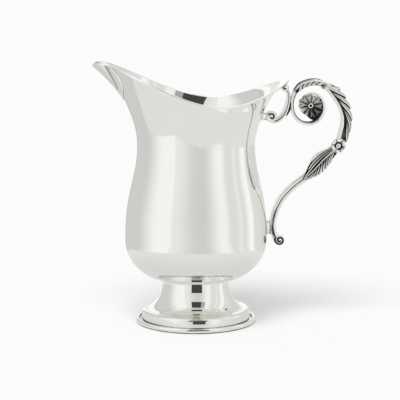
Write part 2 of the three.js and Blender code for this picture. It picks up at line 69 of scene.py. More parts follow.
def length(name, description, millimetres):
    return bpy.props.FloatProperty(
        name=name, description=description, default=millimetres * MM,
        min=0.0, unit="LENGTH", precision=5,
    )


def number(name, description, value):
    return bpy.props.FloatProperty(
        name=name, description=description, default=value, min=0.0, subtype="FACTOR",
    )


def colour(name, description, red, green, blue):
    return bpy.props.FloatVectorProperty(
        name=name, description=description, default=(red, green, blue),
        min=0.0, max=1.0, size=3, subtype="COLOR",
    )


class JugBodySizes(bpy.types.PropertyGroup):
    """Sizes of the body and its mouth."""

    sheet: length("Sheet", "Thickness of the silver sheet", 0.8)
    bowl_height: length("Bowl height", "Height of the underside of the bowl", 18.2)
    bowl_flat: length("Bowl flat", "Radius of the flat underside", 12.0)
    belly_radius: length("Belly radius", "Widest radius of the body", 30.1)
    belly_height: length("Belly height", "Height of the widest place", 36.0)
    neck_radius: length("Neck radius", "Narrowest radius of the body", 24.9)
    neck_height: length("Neck height", "Height of the narrowest place", 75.5)
    mouth_half: length("Mouth half width", "Half the width of the mouth", 27.3)
    mouth_front: length("Mouth front", "Reach of the mouth towards the beak", 37.6)
    mouth_back: length("Mouth back", "Reach of the mouth towards the handle", 39.2)
    rim_low: length("Rim low height", "Height of the lowest place of the rim", 92.8)
    rim_low_place: length("Rim low place", "Distance of that place behind the axis", 10.4)
    rim_dip: length("Rim dip", "Roundness of the rim's sag", 10.0)
    beak_height: length("Beak height", "Height of the pinched beak", 16.5)
    beak_half: length("Beak half width", "Half the width of the beak at the rim", 10.3)
    beak_reach: length("Beak reach", "How far the beak stands out", 5.6)
    beak_lift: length("Beak lift", "Rise of the beak's edges", 2.8)
    beak_droop: length("Beak droop", "Fall of the beak's tip", 1.6)


class JugFootSizes(bpy.types.PropertyGroup):
    """Sizes of the foot."""

    stem_radius: length("Stem radius", "Radius of the foot under the bowl", 13.9)
    hole_radius: length("Hole radius", "Radius of the hole in the stem", 8.0)
    shoulder_radius: length("Shoulder radius", "Radius of the upright wall", 23.0)
    shoulder_height: length("Shoulder height", "Height of the shoulder", 5.8)
    shoulder_round: length("Shoulder round", "Rounding of the shoulder", 1.2)
    seat_height: length("Seat height", "Height of the applied wire", 2.1)
    wire_reach: length("Wire reach", "How far the wire stands out", 2.4)
    wire_groove: length("Wire groove", "Groove between the wall and the wire", 0.9)
    wall_lean: length("Wall lean", "How far the wall leans in at its top", 0.3)


class JugHandleSizes(bpy.types.PropertyGroup):
    """Sizes of the handle and its ornaments."""

    rosette_out: length("Rosette out", "Distance of the rosette behind the mouth", 9.2)
    rosette_drop: length("Rosette drop", "Distance of the rosette under the lip", 10.72)
    rosette_radius: length("Rosette radius", "Radius of the rosette", 4.5)
    scroll_radius: length("Scroll radius", "Outer radius of the upper scroll", 9.7)
    flower_out: length("Flower out", "Distance of the flower behind the rosette", 11.95)
    flower_drop: length("Flower drop", "Distance of the flower under the rosette", 16.95)
    flower_radius: length("Flower radius", "Radius of the flower", 2.95)
    eye_out: length("Eye out", "Distance of the lower scroll from the belly", 5.4)
    eye_drop: length("Eye drop", "Distance of the lower scroll under the belly", 1.8)
    eye_radius: length("Eye radius", "Radius of the lower scroll", 2.15)
    top_eye_radius: length("Top eye radius", "Radius of the bracket's upper eye", 1.6)
    low_eye_radius: length("Low eye radius", "Radius of the bracket's lower eye", 2.45)
    bar_half: length("Bar half", "Half the thickness of the bar", 1.0)
    bar_depth: length("Bar depth", "Half the depth of the bar", 2.2)
    band_half: length("Band half", "Half the thickness of the scroll's band", 0.78)
    husk_half: length("Husk half", "Half the thickness of the husk", 1.45)
    stem_half: length("Stem half", "Half the thickness of the stem at its widest", 1.6)
    leaf_rise: length("Leaf rise", "Crest of the upper leaf above the bar", 4.2)
    leaf_depth: length("Leaf depth", "Half the depth of the upper leaf", 3.1)
    lower_leaf_half: length("Lower leaf half", "Half the width of the lower leaf", 3.65)


class JugFinish(bpy.types.PropertyGroup):
    """Colours and polish of the silver."""

    silver: colour("Silver", "Colour of clean silver", 0.9, 0.896, 0.862)
    tarnish: colour("Tarnish", "Colour of the faint tarnish", 0.80, 0.77, 0.72)
    # Dark colour for the oxide in the recesses and for painted shade
    oxide: colour("Oxide", "Colour of the dark oxide in the recesses", 0.022, 0.021, 0.022)
    polish: number("Polish", "Roughness of the polished sheet", 0.03)
    cast_polish: number("Cast polish", "Roughness of the cast silver", 0.13)


class JugStage(bpy.types.PropertyGroup):
    """Colours and light of the stage."""

    floor: colour("Floor", "Colour of the pale floor", 0.6, 0.6, 0.6)
    floor_glow: number("Floor glow", "Light that shines through the floor", 0.33)
    sky_level: number("Sky level", "Light from all round", 0.50)
    sun_level: number("Sun level", "Strength of the soft lamp", 2.0)


# Shape helpers

def lerp(a, b, share):
    return a + (b - a) * share


def smooth(value, low, high):
    """Rise from 0 to 1 between two values, level at both ends."""
    share = np.clip((np.asarray(value, float) - low) / (high - low), 0, 1)
    return share * share * (3 - 2 * share)


def bell(value, width):
    """Bump of height 1 that fades over a width on both sides of 0."""
    return np.exp(-(value / width) ** 2)


def pillow(across):
    """Rounded rise of height 1 over a width from -1 to 1."""
    return (1 - across ** 2) ** 0.6


def unit(vectors):
    return vectors / np.linalg.norm(vectors, axis=-1, keepdims=True)


def full_turn(columns):
    """Angles spread evenly round a circle."""
    return np.arange(columns) * TURN / columns


def ring(centre, radius, angle, depth):
    """Points round a place in the handle's plane, at a depth across the handle."""
    x = centre[0] + radius * np.cos(angle)
    z = centre[1] + radius * np.sin(angle)
    return np.stack(np.broadcast_arrays(x, depth, z), axis=-1)


def bezier(controls, share):
    """Points of a Bezier curve at each share of the way."""
    share = np.asarray(share, float)[..., None]
    line = [np.asarray(point, float) for point in controls]
    while len(line) > 1:
        line = [lerp(a, b, share) for a, b in zip(line, line[1:])]
    return line[0]


def smooth_line(points, fine=40):
    """Centripetal Catmull-Rom line through points in the handle's plane."""
    points = np.asarray(points, float)
    ends = np.vstack([2 * points[0] - points[1], points, 2 * points[-1] - points[-2]])
    steps = np.sqrt(np.linalg.norm(np.diff(ends, axis=0), axis=1))
    t = np.linspace(0, 1, fine, endpoint=False)[:, None]
    line = []
    for k in range(1, len(ends) - 2):
        before, step, after = steps[k - 1:k + 2]
        p0, p1, p2, p3 = ends[k - 1:k + 3]
        leave = p2 - p1 + step * ((p1 - p0) / before - (p2 - p0) / (before + step))
        reach = p2 - p1 + step * ((p3 - p2) / after - (p3 - p1) / (step + after))
        line.append(
            (2 * t ** 3 - 3 * t ** 2 + 1) * p1 + (t ** 3 - 2 * t ** 2 + t) * leave
            + (3 * t ** 2 - 2 * t ** 3) * p2 + (t ** 3 - t ** 2) * reach
        )
    line.append(points[-1:])
    return np.vstack(line)


def between(start, end, shares):
    """Points given as shares of the way from one place to another, along each axis."""
    return lerp(np.asarray(start), np.asarray(end), np.asarray(shares, float))


class Track:
    """A line in the handle's plane, measured along its length."""

    STEP = 0.2 * MM

    def __init__(self, line):
        self.line = np.asarray(line, float)
        steps = np.linalg.norm(np.diff(self.line, axis=0), axis=1)
        self.marks = np.concatenate([[0], np.cumsum(steps)])
        self.length = self.marks[-1]

    def at(self, distance):
        return np.stack([np.interp(distance, self.marks, self.line[:, k]) for k in (0, 1)], axis=-1)

    def out(self, distance):
        """Direction to the outer side of the line."""
        ahead = self.at(np.minimum(np.asarray(distance) + self.STEP, self.length))
        way = unit(ahead - self.at(np.maximum(np.asarray(distance) - self.STEP, 0)))
        return np.stack([-way[..., 1], way[..., 0]], axis=-1)

    def place(self, distance, offset, depth):
        """Points at a distance along the line, an offset outwards and a depth across the handle."""
        distance, offset, depth = np.broadcast_arrays(distance, offset, depth)
        spot = self.at(distance) + self.out(distance) * offset[..., None]
        return np.stack([spot[..., 0], depth, spot[..., 1]], axis=-1)

    def nearest(self, point, low, high):
        """Distance along the line to its nearest place, looked for between two shares of its length."""
        here = (self.marks >= low * self.length) & (self.marks <= high * self.length)
        gaps = np.linalg.norm(self.line - point, axis=1)
        return self.marks[np.argmin(np.where(here, gaps, np.inf))]


class Metalwork:
    """Skins of one piece, gathered before they become a mesh.

    Each point has a recess: from 0, clean, to 1, fully dark, which paints oxide in the castings' hollows and
    painted shade on sheet and castings alike, and below 0 where the sheet is satin.
    """

    def __init__(self):
        self.points = []
        self.recess = []
        self.faces = []
        self.count = 0

    def skin(self, rings, recess=0.0, loop=False):
        """Adds a closed skin over rings of points. With loop, the last ring joins the first."""
        rings = np.asarray(rings, float)
        rows, columns = rings.shape[:2]
        ids = self.count + np.arange(rows * columns).reshape(rows, columns)
        dark = np.broadcast_to(recess, (rows, columns))
        self.add(rings.reshape(-1, 3), dark.reshape(-1))
        net = np.concatenate([ids, ids[:, :1]], axis=1)
        if loop:
            net = np.concatenate([net, net[:1]], axis=0)
        corners = (net[:-1, :-1], net[:-1, 1:], net[1:, 1:], net[1:, :-1])
        self.faces += np.stack(corners, axis=-1).reshape(-1, 4).tolist()
        if not loop:
            self.close(ids[0], rings[0], dark[0])
            self.close(ids[-1], rings[-1], dark[-1])

    def slab(self, top, under, top_recess, under_recess):
        """Adds a flat closed skin from the rows of its top and of its underside."""
        sides = [np.broadcast_to(recess, top.shape[:2]) for recess in (top_recess, under_recess)]
        self.skin(np.concatenate([top, under[:, ::-1]], axis=1), np.concatenate(sides, axis=1))

    def add(self, points, recess):
        self.points.append(points)
        self.recess.append(recess)
        self.count += len(points)

    def close(self, ids, edge, dark):
        """Closes an open end with a fan."""
        middle = self.count
        self.add(edge.mean(axis=0)[None], dark.mean()[None])
        self.faces += [[int(a), int(b), middle] for a, b in zip(ids, np.roll(ids, -1))]

    def make(self, name, material, slot, nodes, sharp=48):
        """Turns the skins into a piece that stands for CAD nodes, with edges sharp above an angle."""
        mesh = bpy.data.meshes.new(name)
        points = np.concatenate(self.points) + (jug_axis(), 0, 0)
        mesh.from_pydata(points.tolist(), [], self.faces)
        sculpt = bmesh.new()
        sculpt.from_mesh(mesh)
        bmesh.ops.recalc_face_normals(sculpt, faces=sculpt.faces)
        sculpt.to_mesh(mesh)
        sculpt.free()
        shade = mesh.attributes.new("recess", "FLOAT", "POINT")
        shade.data.foreach_set("value", np.concatenate(self.recess).astype(np.float32))
        mesh.shade_smooth()
        mesh.set_sharp_from_angle(angle=math.radians(sharp))
        mesh.materials.append(material)
        piece = bpy.data.objects.new(name, mesh)
        bpy.context.scene.collection.objects.link(piece)
        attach(piece, BODY)
        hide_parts(*nodes)


def jug_axis():
    """Place of the jug's upright axis along x. Shapes are worked out around it."""
    low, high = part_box("foot_ring")
    return (low.x + high.x) / 2


# Body

# Steepness of the rim ahead of its lowest place and behind it
RIM_SLOPES = (0.522, 0.557)
# Heights of the wall's two middle control points, as shares of the way from belly to neck
WALL_PULL = (0.53, 0.635)
# Middle control points of the flare, as shares of its reach and rise: at the sides, the front and the back
FLARE_LOW = (0.4, 0.3, 0.15)
FLARE_OUT = (0.3, 0.52, 0.31)
FLARE_HIGH = (0.75, 0.6, 0.82)
# Share of its width that the mouth gains per metre towards the beak
MOUTH_SKEW = 3.5
# Columns and rows of the wall's mesh, and how far the columns crowd together at the beak
BODY_COLUMNS = 320
COLUMN_CROWDING = 0.65
UNDERSIDE_SHARES = (0.02, 0.3, 0.6, 0.85, 0.97)
BOWL_ROWS = 28
WALL_ROWS = 34
FLARE_ROWS = 80
RIM_ROWS = 5
# Places across the beak, as shares of its half width: crease, the hollow beside it, and anything off the beak
BEAK_CREASE = 0.94
BEAK_HOLLOW = (0.6, 1.35)
OFF_BEAK = 6
# Powers of the climb with which the beak widens and stands out, and softness of its crease
BEAK_SPREAD = 0.5
BEAK_LEAN = 1.3
BEAK_SOFTNESS = 0.03
# Rounded fold beside the crease: its start on the climb, greatest width, narrow ends,
# the power that places its widest part, its rise as a share of its width,
# how deep its underside lies in the wall, and the points across it
FOLD_START = 0.05
FOLD_WIDTH = 5.4 * MM
FOLD_NARROW = 0.2 * MM
FOLD_PLACE = 1.15
FOLD_RISE = 0.15
FOLD_SINK = 0.3 * MM
FOLD_COLUMNS = 17
# Painted shade inside the beak, along its crease and along the far edge of the fold
BEAK_SHADE = 0.55
CREASE_SHADE = 0.7
FOLD_SHADE = 0.6
# Where that painted shade lies: its rise inside the beak, its width beside the crease, the climb over which
# it comes in there, and its widths at the near and the far edge of the fold
BEAK_SHADE_RISE = (0.15, 0.6)
CREASE_SHADE_WIDTH = 0.05
CREASE_SHADE_CLIMB = (0.1, 0.4)
FOLD_SHADE_WIDTHS = (0.6 * MM, 0.4 * MM)
# Depths under the rim between which the inside turns from polished to satin
SATIN_DEPTHS = (12 * MM, 30 * MM)


def rim_height(size, x):
    slope = np.where(x < size.rim_low_place, *RIM_SLOPES)
    return size.rim_low + np.hypot(size.rim_dip, slope * (x - size.rim_low_place)) - size.rim_dip


def wall_controls(size):
    """Control points of the wall from the belly to the neck."""
    rise = size.neck_height - size.belly_height
    return [
        (size.belly_radius, size.belly_height),
        (size.belly_radius, size.belly_height + WALL_PULL[0] * rise),
        (size.neck_radius, size.belly_height + WALL_PULL[1] * rise),
        (size.neck_radius, size.neck_height),
    ]


def flare_controls(size, bearing):
    """Control points of the wall from the neck to the rim at each bearing."""
    ahead = np.cos(bearing) < 0
    reach = np.where(ahead, size.mouth_front, size.mouth_back)
    radius = reach * size.mouth_half / np.hypot(size.mouth_half * np.cos(bearing), reach * np.sin(bearing))
    end = (radius - size.mouth_half) / (reach - size.mouth_half)
    rise = rim_height(size, radius * np.cos(bearing)) - size.neck_height
    flare = radius - size.neck_radius
    low, out, high = (
        lerp(side, np.where(ahead, front, back), end)
        for side, front, back in (FLARE_LOW, FLARE_OUT, FLARE_HIGH)
    )
    none, full = np.zeros_like(end), np.ones_like(end)
    return [
        np.stack([size.neck_radius + flare * x, size.neck_height + rise * z], axis=-1)
        for x, z in ((none, none), (none, low), (out, high), (full, full))
    ]


def bowl_profile(size, share):
    """Radius and height of the bowl from its flat underside to the belly."""
    angle = np.asarray(share) * math.pi / 2
    radius = size.bowl_flat + (size.belly_radius - size.bowl_flat) * np.sin(angle)
    height = size.belly_height - (size.belly_height - size.bowl_height) * np.cos(angle)
    return np.stack([radius, height], axis=-1)


def soft_top(first, second, softness):
    """Larger of two values, rounded where they cross."""
    return (first + second + np.sqrt((first - second) ** 2 + softness ** 2)) / 2


def pinch_beak(size, points):
    """Pushes the front of the mouth out into a narrow beak, with a crease and a hollow on each side.

    Also gives the place of each point across the beak and its climb up it.
    """
    x, y, z = np.moveaxis(points, -1, 0)
    foot = rim_height(size, -size.mouth_front) - size.beak_height
    climb = np.clip((z - foot) / size.beak_height, 0, None)
    half = np.maximum(size.beak_half * climb ** BEAK_SPREAD, 1e-9)
    ahead = (x < 0) & (climb > 0)
    across = np.where(ahead, np.clip(np.abs(y) / half, 0, OFF_BEAK), OFF_BEAK)
    start, end = BEAK_HOLLOW
    left = np.clip(end - across, 0, end - start)
    hollow = (1 - BEAK_CREASE ** 4) * (left / (end - BEAK_CREASE)) ** 2
    bulge = np.where(ahead, soft_top(1 - across ** 4, hollow, BEAK_SOFTNESS), 0)
    push = size.beak_reach * climb ** BEAK_LEAN * bulge
    dome = np.clip(1 - across ** 2, 0, 1)
    lift = size.beak_lift * dome * (1 - dome) - size.beak_droop * dome ** 2
    return np.stack([x - push, y, z + lift * climb ** 3], axis=-1), across, climb


def body_wall(size):
    """Outer wall in rows from the middle of the underside up to the rim, with its places on the beak."""
    u = np.linspace(-1, 1, BODY_COLUMNS, endpoint=False)
    bearing = math.pi + math.pi * lerp(u, u ** 3, COLUMN_CROWDING)
    flat = [(size.bowl_flat * share, size.bowl_height) for share in UNDERSIDE_SHARES]
    bowl = bowl_profile(size, np.linspace(0, 1, BOWL_ROWS))
    wall = bezier(wall_controls(size), np.linspace(0, 1, WALL_ROWS))[1:]
    turned = np.vstack([flat, bowl, wall])
    turned = np.broadcast_to(turned[:, None], (len(turned), len(u), 2))
    controls = flare_controls(size, bearing)
    speed = 3 * np.linalg.norm(controls[3] - controls[2], axis=-1)
    rise = np.linspace(0, 1, FLARE_ROWS)[1:, None] * (1 - 0.5 * size.sheet / speed)
    profile = np.concatenate([turned, bezier(controls, rise)], axis=0)
    radius, height = profile[..., 0], profile[..., 1]
    x, y = radius * np.cos(bearing), radius * np.sin(bearing)
    skew = 1 - MOUTH_SKEW * x * smooth(height, size.neck_height, size.rim_low)
    return pinch_beak(size, np.stack([x, y * skew, height], axis=-1))


def raise_body(work, size):
    """Body as one skin: outer wall, rounded rim and inner wall, with painted shade inside the beak and beside
    its crease, and satin further down.
    """
    outer, across, climb = body_wall(size)
    north = np.gradient(outer, axis=0)
    east = np.roll(outer, -1, axis=1) - np.roll(outer, 1, axis=1)
    normal = unit(np.cross(east, north))
    inner = outer - size.sheet * normal
    middle = (outer[-1] + inner[-1]) / 2
    upward = unit(outer[-1] - outer[-2])
    rim = np.asarray([
        middle + size.sheet / 2 * (math.cos(angle) * normal[-1] + math.sin(angle) * upward)
        for angle in np.linspace(0, math.pi, RIM_ROWS + 2)[1:-1]
    ])
    # Painted shade: a dark line beside the crease, and the inside of the beak and the rim above it made dull
    # and dark
    beside = across - BEAK_CREASE + CREASE_SHADE_WIDTH
    crease = CREASE_SHADE * bell(beside, CREASE_SHADE_WIDTH) * smooth(climb, *CREASE_SHADE_CLIMB)
    dull = BEAK_SHADE * smooth(np.clip(1 - across ** 2, 0, 1) * climb, *BEAK_SHADE_RISE)
    rim_shade = np.broadcast_to(0.5 * dull[-1], rim.shape[:2])
    satin = smooth(inner[-1, :, 2] - inner[..., 2], *SATIN_DEPTHS)
    rings = np.concatenate([outer, rim, inner[::-1]], axis=0)
    work.skin(rings, np.concatenate([crease, rim_shade, (dull - satin)[::-1]], axis=0))
    tip = BODY_COLUMNS // 2
    for side in (np.arange(tip, 2 * tip), np.arange(tip, 0, -1)):
        fold_beak(work, size, outer[:, side], across[:, side], climb[:, side])


def fold_beak(work, size, wall, across, climb):
    """Rounded fold along the crease of the beak, over the half of the wall on one side of its tip."""
    share = np.linspace(0, 1, FOLD_COLUMNS)
    rows, widths = [], []
    for points, places, heights in zip(wall, across, climb):
        high = np.interp(BEAK_CREASE, places, heights)
        if places[0] > BEAK_CREASE or high < FOLD_START:
            continue
        wide = FOLD_NARROW + FOLD_WIDTH * math.sin(math.pi * min(high, 1.0) ** FOLD_PLACE)
        spots = BEAK_CREASE + share * wide / (size.beak_half * high ** BEAK_SPREAD)
        rows.append(np.stack([np.interp(spots, places, points[:, k]) for k in range(3)], axis=-1))
        widths.append(wide)
    base, widths = np.array(rows), np.array(widths)[:, None]
    proud = unit(np.cross(np.gradient(base, axis=0), np.gradient(base, axis=1)))
    proud = proud * np.sign((proud * base)[..., :2].sum(axis=-1))[..., None]
    rise = FOLD_RISE * widths * pillow(2 * share - 1)
    near, far = FOLD_SHADE_WIDTHS
    # Painted shade along the near and the far edge of the fold
    dark = bell(share * widths, near) + FOLD_SHADE * bell((1 - share) * widths, far)
    work.slab(base + proud * rise[..., None], base - FOLD_SINK * proud, dark, 0.0)


def back_radius(size, height):
    """Outer radius of the body behind the handle at a height."""
    share = np.linspace(0, 1, 60)
    line = np.vstack([
        bowl_profile(size, share),
        bezier(wall_controls(size), share),
        bezier([point[0] for point in flare_controls(size, np.zeros(1))], share),
    ])
    return np.interp(height, line[:, 1], line[:, 0])


# Foot

LATHE_COLUMNS = 160
# Middle control points of the foot's flare, as shares of its reach and fall,
# and the drop of the control point at the shoulder's corner
FOOT_FLARE = [(0, 0.5), (0.32, 0.93)]
CORNER_DROP = 0.4 * MM
# Rows of the foot's flare, its corner and its wall
FOOT_FLARE_ROWS = 44
FOOT_CORNER_ROWS = 14
FOOT_WALL_ROWS = 8
# Depth of the wire's seat under the wall, and the painted shade on the seat's four corners
WIRE_SEAT = 1.4 * MM
WIRE_SEAT_SHADE = [0.4, 0.1, 0, 0]
# Painted shade on the wire: a painted shadow where it meets the table and painted shade in the groove, and
# the angles round the bead between which each changes
CONTACT_SHADOW = 0.85
CONTACT_ANGLES = (-1.0, 0.1)
GROOVE_SHADE = 0.6
GROOVE_ANGLES = (1.9, 2.6)
# Rows of a pad from the body outwards: share of the way, swell, and painted shade, dark where the pad meets
# the body and the handle
PAD_ROWS = [
    (0, 1.16, 0.7), (0.1, 1.06, 0.6), (0.25, 0.99, 0.2), (0.5, 0.95, 0.1),
    (0.62, 0.93, 0.6), (0.8, 0.93, 0.7), (1, 0.93, 0.5),
]
# Points round a pad, and how far it reaches into the body
PAD_COLUMNS = 48
PAD_SINK = 0.15 * MM
# Pads: the CAD node that each stands for, and how far it reaches past it into the handle
PADS = {"belly_pad": ("stem_pad", 0.6 * MM), "bracket_pad": ("neck_pad", 0.7 * MM)}


def lathe(work, profile, recess=0.0):
    """Turned piece from a closed profile of radius and height."""
    bearing = full_turn(LATHE_COLUMNS)
    radius, height = np.asarray(profile, float).T[..., None]
    rings = np.broadcast_arrays(radius * np.cos(bearing), radius * np.sin(bearing), height)
    work.skin(np.stack(rings, axis=-1), recess, loop=True)


def foot_profile(body, size):
    """Closed profile of the pedestal: stem, flare, shoulder, leaning wall and hollow underside."""
    top, shoulder = body.bowl_height, size.shoulder_height
    sheet, lean = body.sheet, size.wall_lean
    edge = size.shoulder_radius - lean
    turn = size.shoulder_round
    pull = between((size.stem_radius, top), (edge, shoulder), FOOT_FLARE)
    controls = [(size.stem_radius, top), *pull, (edge - turn, shoulder)]
    flare = bezier(controls, np.linspace(0, 1, FOOT_FLARE_ROWS))
    corner = bezier(
        [(edge - turn, shoulder), (edge, shoulder - CORNER_DROP), (edge + 0.1 * lean, shoulder - turn)],
        np.linspace(0, 1, FOOT_CORNER_ROWS),
    )[1:]
    wall = np.linspace(corner[-1], (size.shoulder_radius, size.seat_height), FOOT_WALL_ROWS)[1:]
    shell = np.vstack([flare, corner, wall])
    way = unit(np.gradient(shell, axis=0))
    hollow = (shell + sheet * np.stack([way[:, 1], -way[:, 0]], axis=-1))[::-3]
    hollow[0, 1] = size.seat_height
    hollow[-1] = (size.stem_radius - sheet, top - sheet)
    hole = [(size.hole_radius, top - sheet), (size.hole_radius, top)]
    return np.vstack([shell, hollow, hole])


def wire_profile(size):
    """Closed profile of the applied wire, a bead and a groove beside the wall, with its painted shadow at the
    table and painted shade in the groove and on the seat.
    """
    tall = size.seat_height
    half = (size.wire_reach - size.wire_groove) / 2
    middle = size.shoulder_radius + size.wire_reach - half
    angle = np.linspace(-math.pi / 2, math.pi, 36)
    bead = np.stack([middle + half * np.cos(angle), tall / 2 + tall / 2 * np.sin(angle)], axis=-1)
    wall, inside = size.shoulder_radius, size.shoulder_radius - WIRE_SEAT
    seat = [(wall, 0.5 * tall), (wall, tall), (inside, tall), (inside, 0)]
    contact = CONTACT_SHADOW * (1 - smooth(angle, *CONTACT_ANGLES))
    groove = GROOVE_SHADE * smooth(angle, *GROOVE_ANGLES)
    darkening = np.concatenate([contact + groove, WIRE_SEAT_SHADE])
    return np.vstack([bead, seat]), darkening[:, None]


def pad(work, body, node, reach):
    """Soldered pad between the body and the handle, flared a little where it meets the body, with painted
    shade at both ends.
    """
    low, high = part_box(node)
    radius = (high.y - low.y) / 2
    tall = (high.z - low.z) / 2
    middle = (high.z + low.z) / 2
    outer = high.x - jug_axis() + reach
    angle = full_turn(PAD_COLUMNS)
    rings = []
    for share, swell, darkening in PAD_ROWS:
        y = radius * swell * np.cos(angle)
        z = middle + tall * swell * np.sin(angle)
        inner = np.sqrt(back_radius(body, z) ** 2 - y ** 2) - PAD_SINK
        rings.append(np.stack([lerp(inner, outer, share), y, z], axis=-1))
    work.skin(rings, [[darkening] for share, swell, darkening in PAD_ROWS])


# Handle

# Line of the upper scroll: bearing round the rosette, and share of the way out from its edge
SCROLL = [
    (118, 0), (90, 0.022), (60, 0.022), (30, 0.033), (0, 0.067), (-30, 0.178), (-60, 0.333),
    (-90, 0.489), (-120, 0.589), (-150, 0.622), (180, 0.633), (160, 0.711), (140, 0.822),
    (115, 0.933), (98, 1),
]
# Line of the arch, as shares of the way from the rosette to the flower
ARCH = [
    (0.134, -0.59), (0.351, -0.555), (0.485, -0.49), (0.661, -0.36), (0.803, -0.236),
    (0.946, -0.088), (1.054, 0.059), (1.13, 0.23), (1.138, 0.366), (1.121, 0.501),
    (1.071, 0.637), (1.021, 0.779), (0.962, 0.903),
]
# Lines of the stem and of the leaf on it, as shares of the way from the lower scroll to the flower
STEM = [
    (0.938, 0.981), (0.849, 0.918), (0.757, 0.863), (0.644, 0.788), (0.527, 0.72), (0.398, 0.655),
    (0.27, 0.595), (0.161, 0.529), (0.08, 0.467), (0.016, 0.404), (-0.032, 0.339),
    (-0.068, 0.276), (-0.091, 0.211), (-0.101, 0.141), (-0.093, 0.078), (-0.064, 0.025),
]
LEAF_LINE = [
    (0.96, 0.985), (0.897, 0.951), (0.825, 0.913), (0.74, 0.868),
    (0.652, 0.808), (0.555, 0.743), (0.471, 0.693), (0.39, 0.65),
]
# Half widths of that leaf at even steps along it, as shares of the widest
LEAF_WIDTHS = [0.5, 0.64, 0.86, 0.97, 1, 0.82, 0.5, 0.12]
# Line of the bracket, as shares of the way from its lower eye to its upper one
BRACKET = [
    (1.096, 0.927), (1.25, 0.813), (1.279, 0.663), (1.231, 0.452), (1.096, 0.233),
    (0.827, 0.022), (0.442, -0.119), (0.077, -0.154),
]
# Place of the collar on the arch, and half its length
COLLAR_POINT = 2
COLLAR_HALF = 0.6 * MM
# Bearing at which the husk takes over from the band
HUSK_BEARING = 140
# Gap between the rosette and the band's first turn
SCROLL_GAP = 0.7 * MM
# Shift of the rosette and the front flower, and the share of it that the back flower goes the other way
FACE_SHIFT = np.array([-0.4, 0.25]) * MM
BACK_SHARE = 0.7
# Sizes of the back flower and the back leaf, as shares of the front ones
BACK_FLOWER = 0.84
BACK_LEAF = 0.86
# Side on which the petals are longer and darker with painted shade
SHADED_BEARING = math.radians(-40)
# Black web of painted shadow between the rosette and the band: bearing, and reach as a share of the rosette's
# radius
SHADOW_WEB = [(-105, 1.02), (-90, 1.24), (-75, 1.38), (-55, 1.42), (-30, 1.31), (0, 1.2), (15, 1.16), (35, 1.0)]
# Half the depth of the web, and the radius at which it starts
SHADOW_WEB_DEPTH = 1.8 * MM
SHADOW_WEB_START = 3.0 * MM
# How far a piece runs into its neighbour, and how far inside the lip the bracket's upper eye stands
JOINT_OVERLAP = 0.3 * MM
LIP_INSET = 1.9 * MM
# Places of the bracket's eyes, as shares of their radii: the lower one from its pad, the upper from the top
LOW_EYE_SEAT = 0.66
TOP_EYE_DROP = 0.85
# Points across a lobe, round a boss and round the eye of a scroll
BLADE_COLUMNS = 17
BOSS_COLUMNS = 48
EYE_COLUMNS = 72
# Spiral groove in the eye of a scroll: its depth, the share of the radius at which it ends, and its soil
EYE_GROOVE = 0.5 * MM
EYE_END = 0.14
EYE_SOIL = 1.3
# Bevel round the eye, as shares of its radius: its start and its drop, and the rise of the eye's middle
EYE_BEVEL_START = 0.86
EYE_BEVEL_DROP = 0.22
EYE_DOME = 0.18 * MM
# Vein of a lobe: its width and the width of its darkening, as shares of the half width, and the depth at
# which it is dark
VEIN_WIDTH = 0.17
VEIN_DARKENING_WIDTH = 0.15
DARK_VEIN = 0.1 * MM
# Oxide and painted shade on a lobe: along its edges, in its vein, in its dish and on its underside
EDGE_DARKENING = 0.9
VEIN_DARKENING = 0.9
DISH_DARKENING = 0.75
UNDER_DARKENING = 0.4
# Darkening of the two narrow sides of a reeded bar, and where they begin
SIDE_DARKENING = 0.15
SIDE_START = 0.985


class HandleLines:
    """Places and lines of the handle, worked out from the sizes."""

    def __init__(self, body, size):
        lip = float(rim_height(body, body.mouth_back))
        self.rosette = np.array([body.mouth_back + size.rosette_out, lip - size.rosette_drop])
        self.flower = self.rosette + (size.flower_out, -size.flower_drop)
        self.bloom = {FRONT: self.flower + FACE_SHIFT, BACK: self.flower - BACK_SHARE * FACE_SHIFT}
        self.disc = self.rosette + FACE_SHIFT
        self.eye = np.array([body.belly_radius + size.eye_out, body.belly_height - size.eye_drop])
        inner = size.rosette_radius + SCROLL_GAP
        scroll = [self.around(bearing, lerp(inner, size.scroll_radius, share)) for bearing, share in SCROLL]
        arch = between(self.rosette, self.flower, ARCH)
        stem = between(self.eye, self.flower, STEM)
        self.spine = Track(smooth_line(np.vstack([scroll, arch, stem])))
        self.scroll_end = self.spine.nearest(self.around(HUSK_BEARING, size.scroll_radius), 0.2, 0.6)
        self.collar = self.spine.nearest(arch[COLLAR_POINT], 0.3, 0.7)
        self.joint = self.spine.nearest(self.flower, 0.4, 0.8)
        self.leaf = Track(smooth_line(between(self.eye, self.flower, LEAF_LINE)))
        pad_low, pad_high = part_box("neck_pad")
        seat = pad_high.x - jug_axis() + JOINT_OVERLAP
        self.low_eye = np.array([seat + LOW_EYE_SEAT * size.low_eye_radius, (pad_low.z + pad_high.z) / 2])
        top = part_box("bracket_scroll")[1].z
        self.top_eye = np.array([body.mouth_back - LIP_INSET, top - TOP_EYE_DROP * size.top_eye_radius])
        self.bracket = Track(smooth_line(between(self.low_eye, self.top_eye, BRACKET)))

    def around(self, bearing, distance):
        """Place at a bearing and distance from the rosette."""
        angle = math.radians(bearing)
        return self.rosette + distance * np.array([math.cos(angle), math.sin(angle)])


def plain_section(columns=44, power=3.2):
    """Offsets of a rounded box section, each from -1 to 1."""
    angle = full_turn(columns) + math.pi / columns
    c, s = np.cos(angle), np.sin(angle)
    bend = (np.abs(c) ** power + np.abs(s) ** power) ** (-1 / power)
    return c * bend, s * bend


